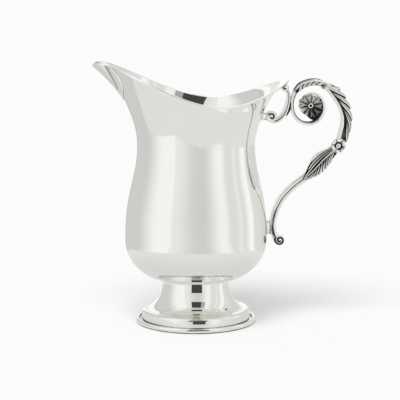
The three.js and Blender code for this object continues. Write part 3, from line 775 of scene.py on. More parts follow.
def reeded_section(columns=25, valley=0.74):
    """Section whose two faces are each a pair of reeds with a valley between them."""
    across = np.cos(np.linspace(0, math.pi, columns))
    reed = np.sqrt(np.clip(1 - (2 * np.abs(across) - 1) ** 2, 0, 1))
    deep = valley + (1 - valley) * reed
    return np.concatenate([across, across[::-1]]), np.concatenate([-deep, deep[::-1]])


def side_darkening(across):
    """Darkening of the two narrow sides of a reeded bar."""
    return SIDE_DARKENING * (np.abs(across) > SIDE_START)


def bar(work, track, marks, half, depth, section, dark=0.0):
    """Bar along a track, with its half thickness and depth at each mark."""
    across, deep = section
    half = np.broadcast_to(half, marks.shape)[:, None]
    depth = np.broadcast_to(depth, marks.shape)[:, None]
    work.skin(track.place(marks[:, None], half * across, depth * deep), dark)


def blade(work, spots, ups, widths, crown, vein=0.0, dish=0.0, sink=0.5 * MM, root_dark=0.8, soot=0.0):
    """Leaf lobe along a line of points: crowned or dished across, with a vein down its middle."""
    spots, ups, widths = np.asarray(spots), unit(np.asarray(ups, float)), np.asarray(widths)
    side = unit(np.cross(np.gradient(spots, axis=0), ups))
    across = np.linspace(-1, 1, BLADE_COLUMNS)
    away = np.abs(across)
    dome = pillow(across)
    bowl = (0.25 + 0.75 * away ** 2.2) * (1 - away ** 14)
    rise = crown * lerp(dome, bowl, dish) - vein * bell(across, VEIN_WIDTH)
    fall = (widths / widths.max()) ** 0.6
    spread = side[:, None] * (widths[:, None] * across)[..., None]
    top = spots[:, None] + spread + ups[:, None] * (fall[:, None] * rise)[..., None]
    under = spots[:, None] + spread - ups[:, None] * sink
    along = np.linspace(0, 1, len(spots))[:, None]
    # Oxide and painted shade along the edges, in the vein, in the dish, towards the root and underneath, and
    # painted shade over the whole lobe
    edge = EDGE_DARKENING * (1 - dish) * away ** 9
    groove = VEIN_DARKENING * bell(across, VEIN_DARKENING_WIDTH) * min(vein / DARK_VEIN, 1)
    hollow = DISH_DARKENING * dish * (1 - away ** 2.5)
    shade = np.maximum(np.maximum(edge, groove), hollow) + soot + root_dark * (1 - along) ** 3
    work.slab(top, under, np.clip(shade, 0, 1), UNDER_DARKENING)


def flat_blade(work, face, spots, widths, crown, **look):
    """Lobe that lies on the front or the back of the handle."""
    blade(work, spots, np.broadcast_to((0.0, face, 0.0), spots.shape), widths, crown, **look)


def lobe_widths(along, widest, root=0.4, place=0.6):
    """Half widths of a lobe that swells from its root and ends in a rounded tip."""
    swell = lerp(root, 1, smooth(along, 0, place))
    return widest * np.maximum(swell * rounded_end(along, place), 0.07)


def rounded_end(along, place):
    """Share of the width that is left along a lobe whose round tip starts at a place."""
    return np.sqrt(np.clip(1 - (np.clip(along - place, 0, None) / (1 - place)) ** 2, 0, 1))


def round_boss(work, centre, steps):
    """Round boss across the handle, from rows of radius, depth and darkening."""
    rings = [ring(centre, radius, full_turn(BOSS_COLUMNS), depth) for radius, depth, darkening in steps]
    work.skin(rings, [[darkening] for radius, depth, darkening in steps])


def scroll_eye(work, centre, radius, depth, start, turns, way, outer=0.98, cut_half=0.2):
    """Round end of a scroll with a spiral groove on both faces, from a start in degrees."""
    angle = full_turn(EYE_COLUMNS)
    turned = np.mod(way * (angle - math.radians(start)), TURN) / TURN
    reach = np.concatenate([np.linspace(0.04, 0.9, 24), [0.95, 0.985, 1.0]])
    rings, dark = [], []
    for face, order in ((FRONT, reach), (BACK, reach[::-1])):
        for share in order:
            cut = np.zeros(EYE_COLUMNS)
            for lap in range(math.ceil(turns) + 1):
                gone = (turned + lap) / turns
                line = lerp(outer, EYE_END, np.clip(gone, 0, 1))
                cut = np.maximum(cut, np.where(gone <= 1, bell(share - line, cut_half), 0))
            bevel = max(share - EYE_BEVEL_START, 0) / (1 - EYE_BEVEL_START)
            level = depth - EYE_BEVEL_DROP * radius * bevel + EYE_DOME * (1 - share)
            rings.append(ring(centre, radius * share, angle, face * (level - EYE_GROOVE * cut)))
            dark.append(np.clip(EYE_SOIL * cut, 0, 1))
    work.skin(rings, dark)


# Upper scroll: half the thickness of its band at the start, and the painted shade on the band's inside
BAND_START_HALF = 0.4 * MM
BAND_INSIDE_SHADE = 0.85
# Line cut along the band: its place and width as shares of the half thickness, its depth and its soil
BAND_CUT_PLACE = -0.42
BAND_CUT_WIDTH = 0.13
BAND_CUT_DEPTH = 0.22 * MM
BAND_CUT_SOIL = 0.95


def cast_volute(work, lines, size):
    """Upper scroll: a thin band with a line cut along its inner edge."""
    marks = np.linspace(0, lines.scroll_end + JOINT_OVERLAP, 190)
    share = marks / lines.scroll_end
    half = lerp(BAND_START_HALF, size.band_half, smooth(share, 0, 0.4))
    half = half + (size.bar_half - size.band_half) * smooth(share, 0.85, 1)
    across, deep = plain_section(columns=60, power=4)
    cut = bell(across - BAND_CUT_PLACE, BAND_CUT_WIDTH) * (np.abs(deep) > 0.8)
    cut = cut * smooth(share, 0.3, 0.5)[:, None]
    depth = size.bar_depth - BAND_CUT_DEPTH * cut
    # Painted shade on the inner side of the band
    inward = BAND_INSIDE_SHADE * smooth(-across, 0.55, 1.0)
    rings = lines.spine.place(marks[:, None], half[:, None] * across, depth * deep)
    work.skin(rings, np.maximum(BAND_CUT_SOIL * cut, inward))


# Husk: half its depth, and its flames on each face: how many, where they start, their step and length
HUSK_DEPTH = 2.3 * MM
FLAMES = 5
FLAME_START = 0.7 * MM
FLAME_STEP = 2.25 * MM
FLAME_LENGTH = 3.3 * MM
# A flame's half width, crown and vein, and the places on the face between which it sweeps
FLAME_HALF = 0.5 * MM
FLAME_CROWN = 0.34 * MM
FLAME_VEIN = 0.08 * MM
FLAME_SWEEP = (0.22, -0.82)
# Outer rib of the husk: the gap at each end, its place and half width as shares of the husk's half thickness,
# its half width at the ends, how deep it sits, and its crown
RIB_GAP = 0.5 * MM
RIB_PLACE = 0.52
RIB_HALF = 0.4
RIB_END_HALF = 0.02 * MM
RIB_SINK = 0.06 * MM
RIB_CROWN = 0.32 * MM


def cast_husk(work, lines, size):
    """Top of the arch: a bar with a smooth outer rib and flame-shaped leaves on its faces."""
    start, end = lines.scroll_end, lines.collar
    marks = np.linspace(start, end, 50)
    share = (marks - start) / (end - start)
    full = smooth(share, 0, 0.25) * (1 - smooth(share, 0.8, 0.93))
    half = lerp(size.bar_half, size.husk_half, full)
    depth = lerp(size.bar_depth, HUSK_DEPTH, full)
    section = plain_section()
    # Darker bar under the flames, showing in the gaps between them: oxide and painted shade
    core_dark = np.where(np.abs(section[1]) > 0.9, 0.9, 0.25 + 0.55 * (np.abs(section[0]) > 0.9))
    bar(work, lines.spine, marks, half, depth, section, core_dark)
    for face in SIDES.values():
        rib = np.linspace(start + RIB_GAP, end - RIB_GAP, 40)
        place = np.interp(rib, marks, half)
        spots = lines.spine.place(rib, RIB_PLACE * place, face * (np.interp(rib, marks, depth) - RIB_SINK))
        swell = np.clip(np.sin(np.linspace(0, math.pi, len(rib))), 0, 1) ** 0.4
        widths = RIB_HALF * place * swell + RIB_END_HALF
        flat_blade(work, face, spots, widths, RIB_CROWN, root_dark=0)
        for k in range(FLAMES):
            run = np.linspace(0, 1, 22)
            way = np.clip(end - FLAME_START - FLAME_STEP * k - FLAME_LENGTH * run, start, end)
            offset = lerp(*FLAME_SWEEP, run ** 1.3) * np.interp(way, marks, half)
            level = np.interp(way, marks, depth) + 0.05 * MM * run
            spots = lines.spine.place(way, offset, face * level)
            widths = lobe_widths(run, FLAME_HALF)
            flat_blade(work, face, spots, widths, FLAME_CROWN, vein=FLAME_VEIN)


def cast_collar(work, lines, size):
    """Collar: two beads with a waist between them."""
    bead = [(1.0, -0.2, 0.6), (1.0, 0.35, 0.6), (0.86, 0.65, 0.1), (0.6, 0.8, 0), (0.36, 0.66, 0.1)]
    waist = [(-0.16, 0.42, 0.8), (0.0, 0.4, 0.8), (0.16, 0.42, 0.8)]
    rows = [(-place, proud, darkening) for place, proud, darkening in bead] + waist + bead[::-1]
    across, deep = plain_section()
    rings = []
    for place, proud, darkening in rows:
        half, depth = size.bar_half + proud * MM, size.bar_depth + proud * MM
        rings.append(lines.spine.place(lines.collar + place * COLLAR_HALF, half * across, depth * deep))
    work.skin(rings, [[darkening] for place, proud, darkening in rows])


def cast_plain_bar(work, lines, size):
    """Plain bar from the collar to the flower."""
    marks = np.linspace(lines.collar, lines.joint + JOINT_OVERLAP, 60)
    bar(work, lines.spine, marks, size.bar_half, size.bar_depth, plain_section())


class UpperLeafSkin:
    """Rounded surface on the outer side of the bar that carries the lobes."""

    def __init__(self, lines, size):
        self.lines, self.size = lines, size
        self.start = lines.collar + COLLAR_HALF
        self.end = lines.joint - size.flower_radius

    def sizes(self, mark):
        """Height of the leaf's foot over the bar, of its crest, and half its depth."""
        share = (mark - self.start) / (self.end - self.start)
        base = 0.1 * MM + 1.5 * MM * smooth(share, 0.5, 0.95)
        body = lerp(0.72, 1, smooth(share, 0, 0.2)) * lerp(1, 0.94, smooth(share, 0.6, 1))
        slim = lerp(0.86, 1, smooth(share, 0, 0.25)) * lerp(1, 0.8, smooth(share, 0.7, 1))
        return base, self.size.leaf_rise * body, self.size.leaf_depth * slim

    def spot(self, mark, angle, shrink):
        """Point of the surface; the angle goes from the front of the bar over the crest to its back."""
        base, crest, depth = self.sizes(mark)
        out = base + (crest - shrink - base) * np.abs(np.sin(angle)) ** 0.9
        return self.lines.spine.place(mark, out, -(depth - shrink) * np.cos(angle))

    def up(self, mark, angle):
        """Direction away from the surface."""
        base, crest, depth = self.sizes(mark)
        lean = depth * np.sin(angle)
        flat = -(crest - base) * np.cos(angle)
        out = self.lines.spine.out(mark)
        return unit(np.stack([out[..., 0] * lean, flat, out[..., 1] * lean], axis=-1))


# Upper leaf: lobes on each face, their length, and where each ends, in steps from its start
LEAF_LOBES = 6
LOBE_LENGTH = 9.0 * MM
LOBE_END = 1.15
# A lobe's crown and vein, and how deep its underside lies
LOBE_CROWN = 0.42 * MM
LOBE_VEIN = 0.13 * MM
LOBE_SINK = 0.6 * MM
# From the first lobe to the last: half width in millimetres, oxide and painted shade at the root, and painted
# shade all over, more on the lower lobes
LOBE_HALVES = (0.8, 1.05)
LOBE_ROOT_DARKENING = (0.2, 0.4)
LOBE_SHADE = (0.16, 0.34)


def cast_upper_leaf(work, lines, size):
    """Upper leaf: long lobes that sweep from the bar out over the crest, over a core dark with painted
    shadow.
    """
    skin = UpperLeafSkin(lines, size)
    angle = np.linspace(0, math.pi, 25)
    marks = np.linspace(skin.start - 0.1 * MM, skin.end, 60)
    # Core that shows in the gaps between the lobes, darkening to black along the leaf: painted shadow
    core = skin.spot(marks[:, None] + 0 * angle, angle + 0 * marks[:, None], 0.5 * MM)
    work.skin(core, lerp(0.3, 1.0, smooth(marks, skin.start, skin.start + 3 * MM))[:, None])
    step = (skin.end - skin.start) / LEAF_LOBES
    run = np.linspace(0, 1, 34)
    for face in SIDES.values():
        for k in range(LEAF_LOBES):
            low = k / (LEAF_LOBES - 1)
            tip = skin.start + (k + LOBE_END) * step
            root = max(tip - LOBE_LENGTH, skin.start)
            mark = lerp(root, min(tip, skin.end + 0.6 * MM), run)
            swing = lerp(lerp(0.03, 0.14, low), lerp(0.97, 0.62, low ** 3), run ** 1.5) * math.pi / 2
            swing = swing if face == FRONT else math.pi - swing
            up = skin.up(mark, swing)
            lift = lerp(-0.3, 0.1, run ** 1.2) * MM
            spots = skin.spot(mark, swing, 0.25 * MM) + up * lift[:, None]
            widths = lobe_widths(run, lerp(*LOBE_HALVES, low) * MM, root=0.4, place=0.7)
            blade(
                work, spots, up, widths, LOBE_CROWN, vein=LOBE_VEIN, sink=LOBE_SINK,
                root_dark=lerp(*LOBE_ROOT_DARKENING, low), soot=lerp(*LOBE_SHADE, low),
            )


# Half the thickness and half the depth of the stem at its lower end, and half the depth of its scroll
STEM_END_HALF = 1.35 * MM
STEM_END_DEPTH = 1.9 * MM
STEM_EYE_DEPTH = 2.1 * MM
# Oxide and painted shade in the valley between the stem's reeds, and painted shade on its inner reed further
# down
STEM_VALLEY_DARKENING = 0.72
STEM_INNER_SHADE = 0.66
# How far the stem is moved in above its scroll
STEM_INWARD = 0.4 * MM


def cast_stem(work, lines, size):
    """Lower half of the handle: a reeded bar that ends in a small scroll."""
    spine = lines.spine
    marks = np.linspace(lines.joint, spine.length, 130)
    share = (marks - lines.joint) / (spine.length - lines.joint)
    slim = smooth(share, 0.35, 0.85)
    swollen = lerp(size.bar_half, size.stem_half, smooth(share, 0.05, 0.25))
    half = lerp(swollen, STEM_END_HALF, slim)
    depth = lerp(size.bar_depth, STEM_END_DEPTH, slim)
    across, deep = reeded_section()
    valley_dark = STEM_VALLEY_DARKENING * bell(across, 0.16)
    inner_dark = STEM_INNER_SHADE * smooth(across, -1.2, -0.3) * (1 - smooth(across, 0.1, 0.45))
    low = smooth(share, 0.6, 0.85)[:, None]
    inward = STEM_INWARD * smooth(share, 0.5, 0.7) * (1 - smooth(share, 0.88, 1))
    rings = spine.place(marks[:, None], half[:, None] * across - inward[:, None], depth[:, None] * deep)
    work.skin(rings, np.maximum(lerp(valley_dark, inner_dark, low), side_darkening(across)))
    scroll_eye(work, lines.eye, size.eye_radius, STEM_EYE_DEPTH, start=140, turns=1.6, way=1)


# Long lobes of the lower leaf: where each ends along it, its offsets as shares of the half width, and painted
# shade
LONG_LOBES = [(0.6, (-0.78, -0.88), 0.12), (0.78, (-0.52, -0.68), 0.08), (0.96, (-0.26, -0.42), 0.0)]
LONG_LOBE_START = 0.03
LONG_LOBE_HALF = 0.29 * MM
# Short barbs: how many, their start, step, run and end along the leaf, half width, offsets and painted shade
BARBS = 8
BARB_START = 0.07
BARB_STEP = 0.092
BARB_RUN = 0.25
BARB_END = 0.98
BARB_HALF = 0.42 * MM
BARB_OFFSETS = (0.14, 1.0)
BARB_SHADE = 0.42
# Lobe at the leaf's tip: start, end, offsets, half width and painted shade
TIP_LOBE = (0.76, 1.0, (0.8, 0.2), 0.2 * MM, 0.0)
# Crown of the lobes and barbs
FEATHER_CROWN = 0.36 * MM


def cast_lower_leaf(work, lines, size, face):
    """Feathered leaf on one side of the stem: a midrib, long lobes above and short barbs below."""
    track = lines.leaf
    base = size.bar_depth - 0.1 * MM
    widest = size.lower_leaf_half * (1.0 if face == FRONT else BACK_LEAF)

    def half_width(share):
        return widest * np.interp(share, np.linspace(0, 1, len(LEAF_WIDTHS)), LEAF_WIDTHS)

    def feather(start, end, offsets, widest_lobe, soot):
        run = np.linspace(0, 1, 26)
        along = lerp(start, end, run)
        reach = lerp(*offsets, run) * half_width(along)
        spots = track.place(along * track.length, reach, face * (base + (0.5 + 0.25 * run) * MM))
        widths = lobe_widths(run, widest_lobe, root=0.4, place=0.7)
        flat_blade(work, face, spots, widths, FEATHER_CROWN, root_dark=0.2, soot=soot)

    share = np.linspace(0, 1, 48)
    across = np.linspace(-1, 1, 25)
    wide = 0.94 * half_width(share)[:, None] * across
    high = base + (0.3 + 0.25 * (1 - across ** 2)) * MM
    marks = (share * track.length)[:, None]
    top = track.place(marks, wide, face * high)
    under = track.place(marks, 0.8 * wide, 0.0)
    # Dark ground that shows in the gaps between the lobes: oxide and painted shade
    work.slab(top, under, np.where(np.abs(across) > 0.97, 0.3, 0.9), 0.0)
    for end, offsets, soot in LONG_LOBES:
        feather(LONG_LOBE_START, end, offsets, LONG_LOBE_HALF, soot)
    for k in range(BARBS):
        start = BARB_START + BARB_STEP * k
        feather(start, min(start + BARB_RUN, BARB_END), BARB_OFFSETS, BARB_HALF, BARB_SHADE)
    feather(*TIP_LOBE)
    rib = np.linspace(0.0, 0.99, 40)
    spots = track.place(rib * track.length, 0.02 * half_width(rib), face * (base + 0.75 * MM))
    flat_blade(work, face, spots, lerp(0.34, 0.2, rib) * MM, 0.3 * MM, root_dark=0)


def radial_petals(
    work, centre, radius, face, petals, root, levels, crown, dish, turn, soot,
    vein=0.0, root_dark=0.25, swell=0.0,
):
    """Petals that stand round a centre, from a root at a share of the radius to its edge."""
    run = np.linspace(0, 1, 22)
    for k in range(petals):
        angle = turn + k * TURN / petals
        # Petals towards the shaded bearing reach further and carry twice the painted shade
        shaded = max(math.cos(angle - SHADED_BEARING), 0)
        reach = lerp(root, 1 + swell * shaded, run) * radius
        spots = ring(centre, reach, angle, face * lerp(*levels, run ** 0.8))
        wide = 0.98 * reach * math.tan(math.pi / petals)
        widths = np.maximum(wide * rounded_end(run, 0.7), 0.06 * MM)
        flat_blade(
            work, face, spots, widths, crown, vein=vein, dish=dish,
            sink=0.45 * MM, root_dark=root_dark, soot=soot * (1 + shaded),
        )


def cast_flower(work, lines, size, face):
    """Small flower over the joint of bar and stem, with a dimpled knob."""
    seat, middle = size.bar_depth, lines.bloom[face]
    radius = size.flower_radius * (1.0 if face == FRONT else BACK_FLOWER)
    # Dark back between the petals, and a knob that darkens towards its foot: oxide and painted shade
    back = [(0.1, -0.4, 1), (0.8, -0.4, 1), (0.84, 0.3, 1), (0.7, 0.5, 1), (0.1, 0.5, 1)]
    knob = [
        (0.26, 0.4, 1), (0.34, 0.5, 0.9), (0.36, 0.8, 0.7), (0.34, 1.05, 0.3), (0.29, 1.25, 0.1),
        (0.23, 1.3, 0), (0.18, 1.25, 0.2), (0.12, 1.05, 0.6), (0.05, 1.0, 0.5),
    ]
    for rows in (back, knob):
        round_boss(work, middle, [(radius * r, face * (seat + y * MM), darkening) for r, y, darkening in rows])
    radial_petals(
        work, middle, radius, face, petals=6, root=0.4, levels=(seat + 0.4 * MM, seat + 0.9 * MM),
        crown=0.4 * MM, dish=0.1, turn=0.35, soot=0.13, root_dark=0.9,
    )


def cast_rosette(work, lines, size, face):
    """Face of the rosette: grooved petals in a dish."""
    radius = size.rosette_radius
    # Fully dark back that shows between the petals: oxide and painted shade
    back = [(0.2, 1.7), (0.8, 1.7), (0.83, 2.0), (0.8, 2.15), (0.2, 2.0)]
    round_boss(work, lines.disc, [(radius * r, face * y * MM, 1) for r, y in back])
    radial_petals(
        work, lines.disc, radius, face, petals=10, root=0.2, levels=(2.1 * MM, 2.55 * MM),
        crown=0.42 * MM, dish=0.7, turn=0.2, soot=0.15, vein=-0.14 * MM, swell=0.13,
    )


def cast_hub(work, lines, size):
    """Core of the rosette with a ringed pin through both faces, darker towards its foot, and a black web of
    painted shadow out to the band.
    """
    half = [
        (3.4, 1.7, 1), (0.9, 2.0, 1), (1.06, 2.4, 0.5), (1.1, 2.85, 0.1), (0.98, 3.1, 0),
        (0.8, 3.16, 0), (0.62, 3.06, 0.2), (0.5, 2.7, 0.9), (0.2, 2.6, 1),
    ]
    mirrored = [(r, -y, darkening) for r, y, darkening in reversed(half)]
    round_boss(work, lines.disc, [(r * MM, y * MM, darkening) for r, y, darkening in mirrored + half])
    rings = []
    # The web is fully dark: painted shadow in the gap between the rosette and the band
    for bearing in np.linspace(SHADOW_WEB[-1][0], SHADOW_WEB[0][0], 40):
        far = size.rosette_radius * np.interp(bearing, *zip(*SHADOW_WEB))
        inside, outside = lines.around(bearing, SHADOW_WEB_START), lines.around(bearing, far)
        corners = ((inside, FRONT), (outside, FRONT), (outside, BACK), (inside, BACK))
        rings.append([(x, face * SHADOW_WEB_DEPTH, z) for (x, z), face in corners])
    work.skin(rings, 1.0)


# Bracket: half the thickness near its upper and its lower eye in millimetres, half the depth of its strip
# and of its eyes, and the soil in its groove
BRACKET_HALVES = (0.75, 1.05)
BRACKET_DEPTH = 2.1 * MM
BRACKET_EYE_DEPTH = 2.2 * MM
BRACKET_SOIL = 0.9
# Strip of painted shadow beside the band: the shares of the bracket between which it runs, half its width,
# how far outside the bracket it lies, and its crown
SHADOW_STRIP_RUN = (0.3, 0.66)
SHADOW_STRIP_HALF = 0.36 * MM
SHADOW_STRIP_OUT = 0.22 * MM
SHADOW_STRIP_CROWN = 0.1 * MM


def cast_bracket(work, lines, size):
    """Small scroll between the mouth and the handle, with a groove along it and an eye at each end."""
    track = lines.bracket
    marks = np.linspace(0, track.length, 70)
    share = marks / track.length
    half = lerp(*BRACKET_HALVES, smooth(share, 0.2, 0.6)) * MM
    across, deep = reeded_section(valley=0.8)
    dark = np.maximum(BRACKET_SOIL * bell(across, 0.2), side_darkening(across))
    bar(work, track, marks, half, BRACKET_DEPTH, (across, deep), dark)
    # Strip of painted shadow beside the band on each face
    shadow_strip = np.linspace(*SHADOW_STRIP_RUN, 26)
    shadow_strip_widths = SHADOW_STRIP_HALF * np.sin(np.linspace(0.1, 3.0, len(shadow_strip)))
    for face in SIDES.values():
        away = np.interp(shadow_strip, share, half) + SHADOW_STRIP_OUT
        spots = track.place(shadow_strip * track.length, away, face * BRACKET_DEPTH)
        flat_blade(work, face, spots, shadow_strip_widths, SHADOW_STRIP_CROWN, root_dark=0, soot=1.0)
    scroll_eye(
        work, lines.top_eye, size.top_eye_radius, BRACKET_EYE_DEPTH,
        start=80, turns=0.8, way=1, outer=0.62, cut_half=0.17,
    )
    scroll_eye(
        work, lines.low_eye, size.low_eye_radius, BRACKET_EYE_DEPTH,
        start=150, turns=0.9, way=-1, outer=0.6, cut_half=0.15,
    )


# Finishes

class Wire:
    """Output of a shader node. Arithmetic on it adds Math nodes."""

    def __init__(self, tree, socket):
        self.tree = tree
        self.socket = socket

    @classmethod
    def node(cls, tree, kind, settings, sockets, output=0):
        """Adds a node, sets it, fills its sockets with values or links, and gives one of its outputs."""
        node = tree.nodes.new(kind)
        for name, value in settings.items():
            setattr(node, name, value)
        for name, value in sockets.items():
            if isinstance(value, cls):
                tree.links.new(value.socket, node.inputs[name])
            else:
                node.inputs[name].default_value = value
        return cls(tree, node.outputs[output]) if node.outputs else None

    def beside(self, output):
        """Another output of the same node."""
        return Wire(self.tree, self.socket.node.outputs[output])

    def math(self, operation, first, second):
        return Wire.node(self.tree, "ShaderNodeMath", {"operation": operation}, {0: first, 1: second})

    def __add__(self, other):
        return self.math("ADD", self, other)

    def __radd__(self, other):
        return self.math("ADD", other, self)

    def __sub__(self, other):
        return self.math("SUBTRACT", self, other)

    def __rsub__(self, other):
        return self.math("SUBTRACT", other, self)

    def __mul__(self, other):
        return self.math("MULTIPLY", self, other)

    def __rmul__(self, other):
        return self.math("MULTIPLY", other, self)


def blank_material(name):
    material = bpy.data.materials.new(name)
    material.use_nodes = True
    material.node_tree.nodes.clear()
    return material, material.node_tree


def object_place(tree):
    return Wire.node(tree, "ShaderNodeTexCoord", {}, {}, "Object")


def recess_mark(tree):
    return Wire.node(tree, "ShaderNodeAttribute", {"attribute_name": "recess"}, {}, "Fac")


def noise(tree, place, scale, detail=3.0, roughness=0.5):
    sockets = {"Vector": place, "Scale": scale, "Detail": detail, "Roughness": roughness}
    return Wire.node(tree, "ShaderNodeTexNoise", {}, sockets)


def stretch(tree, place, x, y, z):
    return Wire.node(tree, "ShaderNodeVectorMath", {"operation": "MULTIPLY"}, {0: place, 1: (x, y, z)})


def ease(tree, value, low, high):
    """Rise from 0 to 1 between two values, level at both ends."""
    sockets = {"Value": value, "From Min": low, "From Max": high}
    return Wire.node(tree, "ShaderNodeMapRange", {"interpolation_type": "SMOOTHSTEP"}, sockets)


def blend(tree, share, first, second):
    """Mix of two colours."""
    sockets = {"Factor": share, 6: first, 7: second}
    return Wire.node(tree, "ShaderNodeMix", {"data_type": "RGBA"}, sockets, 2)


def bumps(tree, height, strength, distance):
    sockets = {"Strength": strength, "Distance": distance, "Height": height}
    return Wire.node(tree, "ShaderNodeBump", {}, sockets)


def solid(rgb):
    return (*rgb, 1.0)


def surface(tree, sockets):
    return Wire.node(tree, "ShaderNodeBsdfPrincipled", {}, sockets)


def finish_material(tree, shader):
    Wire.node(tree, "ShaderNodeOutputMaterial", {}, {"Surface": shader})


def polished_sheet(finish):
    """Mirror-polished sheet: tarnish, polishing haze and hairlines, painted shade where the recess is above
    0, and satin where it is below 0.
    """
    material, tree = blank_material("polished_sheet")
    place = object_place(tree)
    recess = recess_mark(tree)
    cloud = noise(tree, place, 38.0)
    haze = noise(tree, place, 190.0, detail=4.0, roughness=0.6)
    hairs = noise(tree, stretch(tree, place, 260.0, 260.0, 9000.0), 1.0, detail=2.0)
    cross_hairs = noise(tree, stretch(tree, place, 7000.0, 7000.0, 240.0), 1.0, detail=2.0)
    scratch = ease(tree, hairs, 0.62, 0.78) + ease(tree, cross_hairs, 0.64, 0.8)
    tarnish = ease(tree, cloud, 0.45, 0.8) * 0.16
    # Painted shade from the recess mark: in the beak, beside its crease, round the wire and round the pads
    darkening = ease(tree, recess + (haze - 0.5) * 0.4, 0.3, 0.85)
    satin = ease(tree, 0.0 - recess, 0.05, 0.95)
    clean = blend(tree, tarnish, solid(finish.silver), solid(finish.tarnish))
    finish_material(tree, surface(tree, {
        "Base Color": blend(tree, darkening, clean, solid(finish.oxide)),
        "Metallic": 1.0 - satin * 0.4,
        "Roughness": finish.polish + haze * 0.03 + scratch * 0.02 + darkening * 0.35 + satin * 0.2,
        "Normal": bumps(tree, haze - scratch * 0.3, strength=0.03, distance=0.02 * MM),
    }))
    return material


def oxidised_and_shaded_casting(finish):
    """Cast silver: bright on the high places, with dark oxide and painted shade where the recess mark says,
    and a soft cast grain.
    """
    material, tree = blank_material("oxidised_and_shaded_casting")
    place = object_place(tree)
    recess = recess_mark(tree)
    grain = noise(tree, place, 900.0, detail=4.0, roughness=0.6)
    patch = noise(tree, place, 260.0)
    pits = ease(tree, noise(tree, place, 2400.0, detail=2.0), 0.66, 0.8)
    # Oxide and painted shade from the recess mark
    dark = ease(tree, recess + (patch - 0.5) * 0.5 + (grain - 0.5) * 0.2, 0.28, 0.8)
    tarnish = ease(tree, patch, 0.4, 0.7) * 0.3
    clean = blend(tree, tarnish, solid(finish.silver), solid(finish.tarnish))
    finish_material(tree, surface(tree, {
        "Base Color": blend(tree, dark + pits * 0.12, clean, solid(finish.oxide)),
        "Metallic": 1.0,
        "Roughness": finish.cast_polish + grain * 0.08 + dark * 0.32,
        "Normal": bumps(tree, grain - pits, strength=0.25, distance=0.04 * MM),
    }))
    return material


def polished_piece(context, work, name, nodes, sharp):
    """Makes a piece of polished sheet."""
    silver = bpy.data.materials.get("polished_sheet") or polished_sheet(context.scene.jug_finish)
    work.make(name, silver, POLISHED, nodes, sharp)


def cast_piece(context, name, node, maker, *face):
    """Makes a cast piece of the handle, or of one face of it."""
    scene = context.scene
    work = Metalwork()
    maker(work, HandleLines(scene.jug_body, scene.jug_handle), scene.jug_handle, *face)
    silver = bpy.data.materials.get("oxidised_and_shaded_casting") or oxidised_and_shaded_casting(scene.jug_finish)
    work.make(name, silver, OXIDISED, [node])


# Operators

class JugStep:
    """What the operators share."""

    bl_options = {"REGISTER", "UNDO"}


class OBJECT_OT_jug_body(JugStep, bpy.types.Operator):
    """Raise the body from one sheet: bowl, neck, rim and beak"""

    bl_idname = "object.jug_body"
    bl_label = "Body"

    def execute(self, context):
        work = Metalwork()
        raise_body(work, context.scene.jug_body)
        polished_piece(context, work, "raised_body", ["body_bowl", "body_neck", "pouring_lip"], sharp=60)
        return {"FINISHED"}


class OBJECT_OT_jug_foot(JugStep, bpy.types.Operator):
    """Spin the pedestal and lay the wire round its edge"""

    bl_idname = "object.jug_foot"
    bl_label = "Foot"

    def execute(self, context):
        body, size = context.scene.jug_body, context.scene.jug_foot
        pedestal = Metalwork()
        lathe(pedestal, foot_profile(body, size))
        polished_piece(context, pedestal, "spun_pedestal", ["foot_pedestal"], sharp=40)
        wire = Metalwork()
        lathe(wire, *wire_profile(size))
        polished_piece(context, wire, "foot_wire", ["foot_ring"], sharp=40)
        return {"FINISHED"}


class OBJECT_OT_jug_pads(JugStep, bpy.types.Operator):
    """Solder the two pads that join the handle to the body"""

    bl_idname = "object.jug_pads"
    bl_label = "Pads"

    def execute(self, context):
        for name, (node, reach) in PADS.items():
            work = Metalwork()
            pad(work, context.scene.jug_body, node, reach)
            polished_piece(context, work, name, [node], sharp=48)
        return {"FINISHED"}


class OBJECT_OT_jug_bracket(JugStep, bpy.types.Operator):
    """Cast the small scroll between the mouth and the handle"""

    bl_idname = "object.jug_bracket"
    bl_label = "Bracket"

    def execute(self, context):
        cast_piece(context, "bracket_strip", "bracket_scroll", cast_bracket)
        return {"FINISHED"}


class OBJECT_OT_jug_arch(JugStep, bpy.types.Operator):
    """Cast the upper scroll, the husk and the collar"""

    bl_idname = "object.jug_arch"
    bl_label = "Upper scroll"

    def execute(self, context):
        cast_piece(context, "scroll_band", "volute_band", cast_volute)
        cast_piece(context, "flame_husk", "husk_bar", cast_husk)
        cast_piece(context, "beaded_collar", "bar_collar", cast_collar)
        return {"FINISHED"}


class OBJECT_OT_jug_upper_leaf(JugStep, bpy.types.Operator):
    """Cast the bar behind the collar and the leaf that lies on it"""

    bl_idname = "object.jug_upper_leaf"
    bl_label = "Upper leaf"

    def execute(self, context):
        cast_piece(context, "plain_bar", "leaf_bar", cast_plain_bar)
        cast_piece(context, "lobed_leaf", "upper_leaf", cast_upper_leaf)
        return {"FINISHED"}


class OBJECT_OT_jug_stem(JugStep, bpy.types.Operator):
    """Cast the reeded stem, its small scroll and the two feathered leaves"""

    bl_idname = "object.jug_stem"
    bl_label = "Stem and lower leaves"

    def execute(self, context):
        cast_piece(context, "reeded_stem", "stem_bar", cast_stem)
        for side, face in SIDES.items():
            cast_piece(context, "feathered_leaf_" + side, "lower_leaf_" + side, cast_lower_leaf, face)
        return {"FINISHED"}


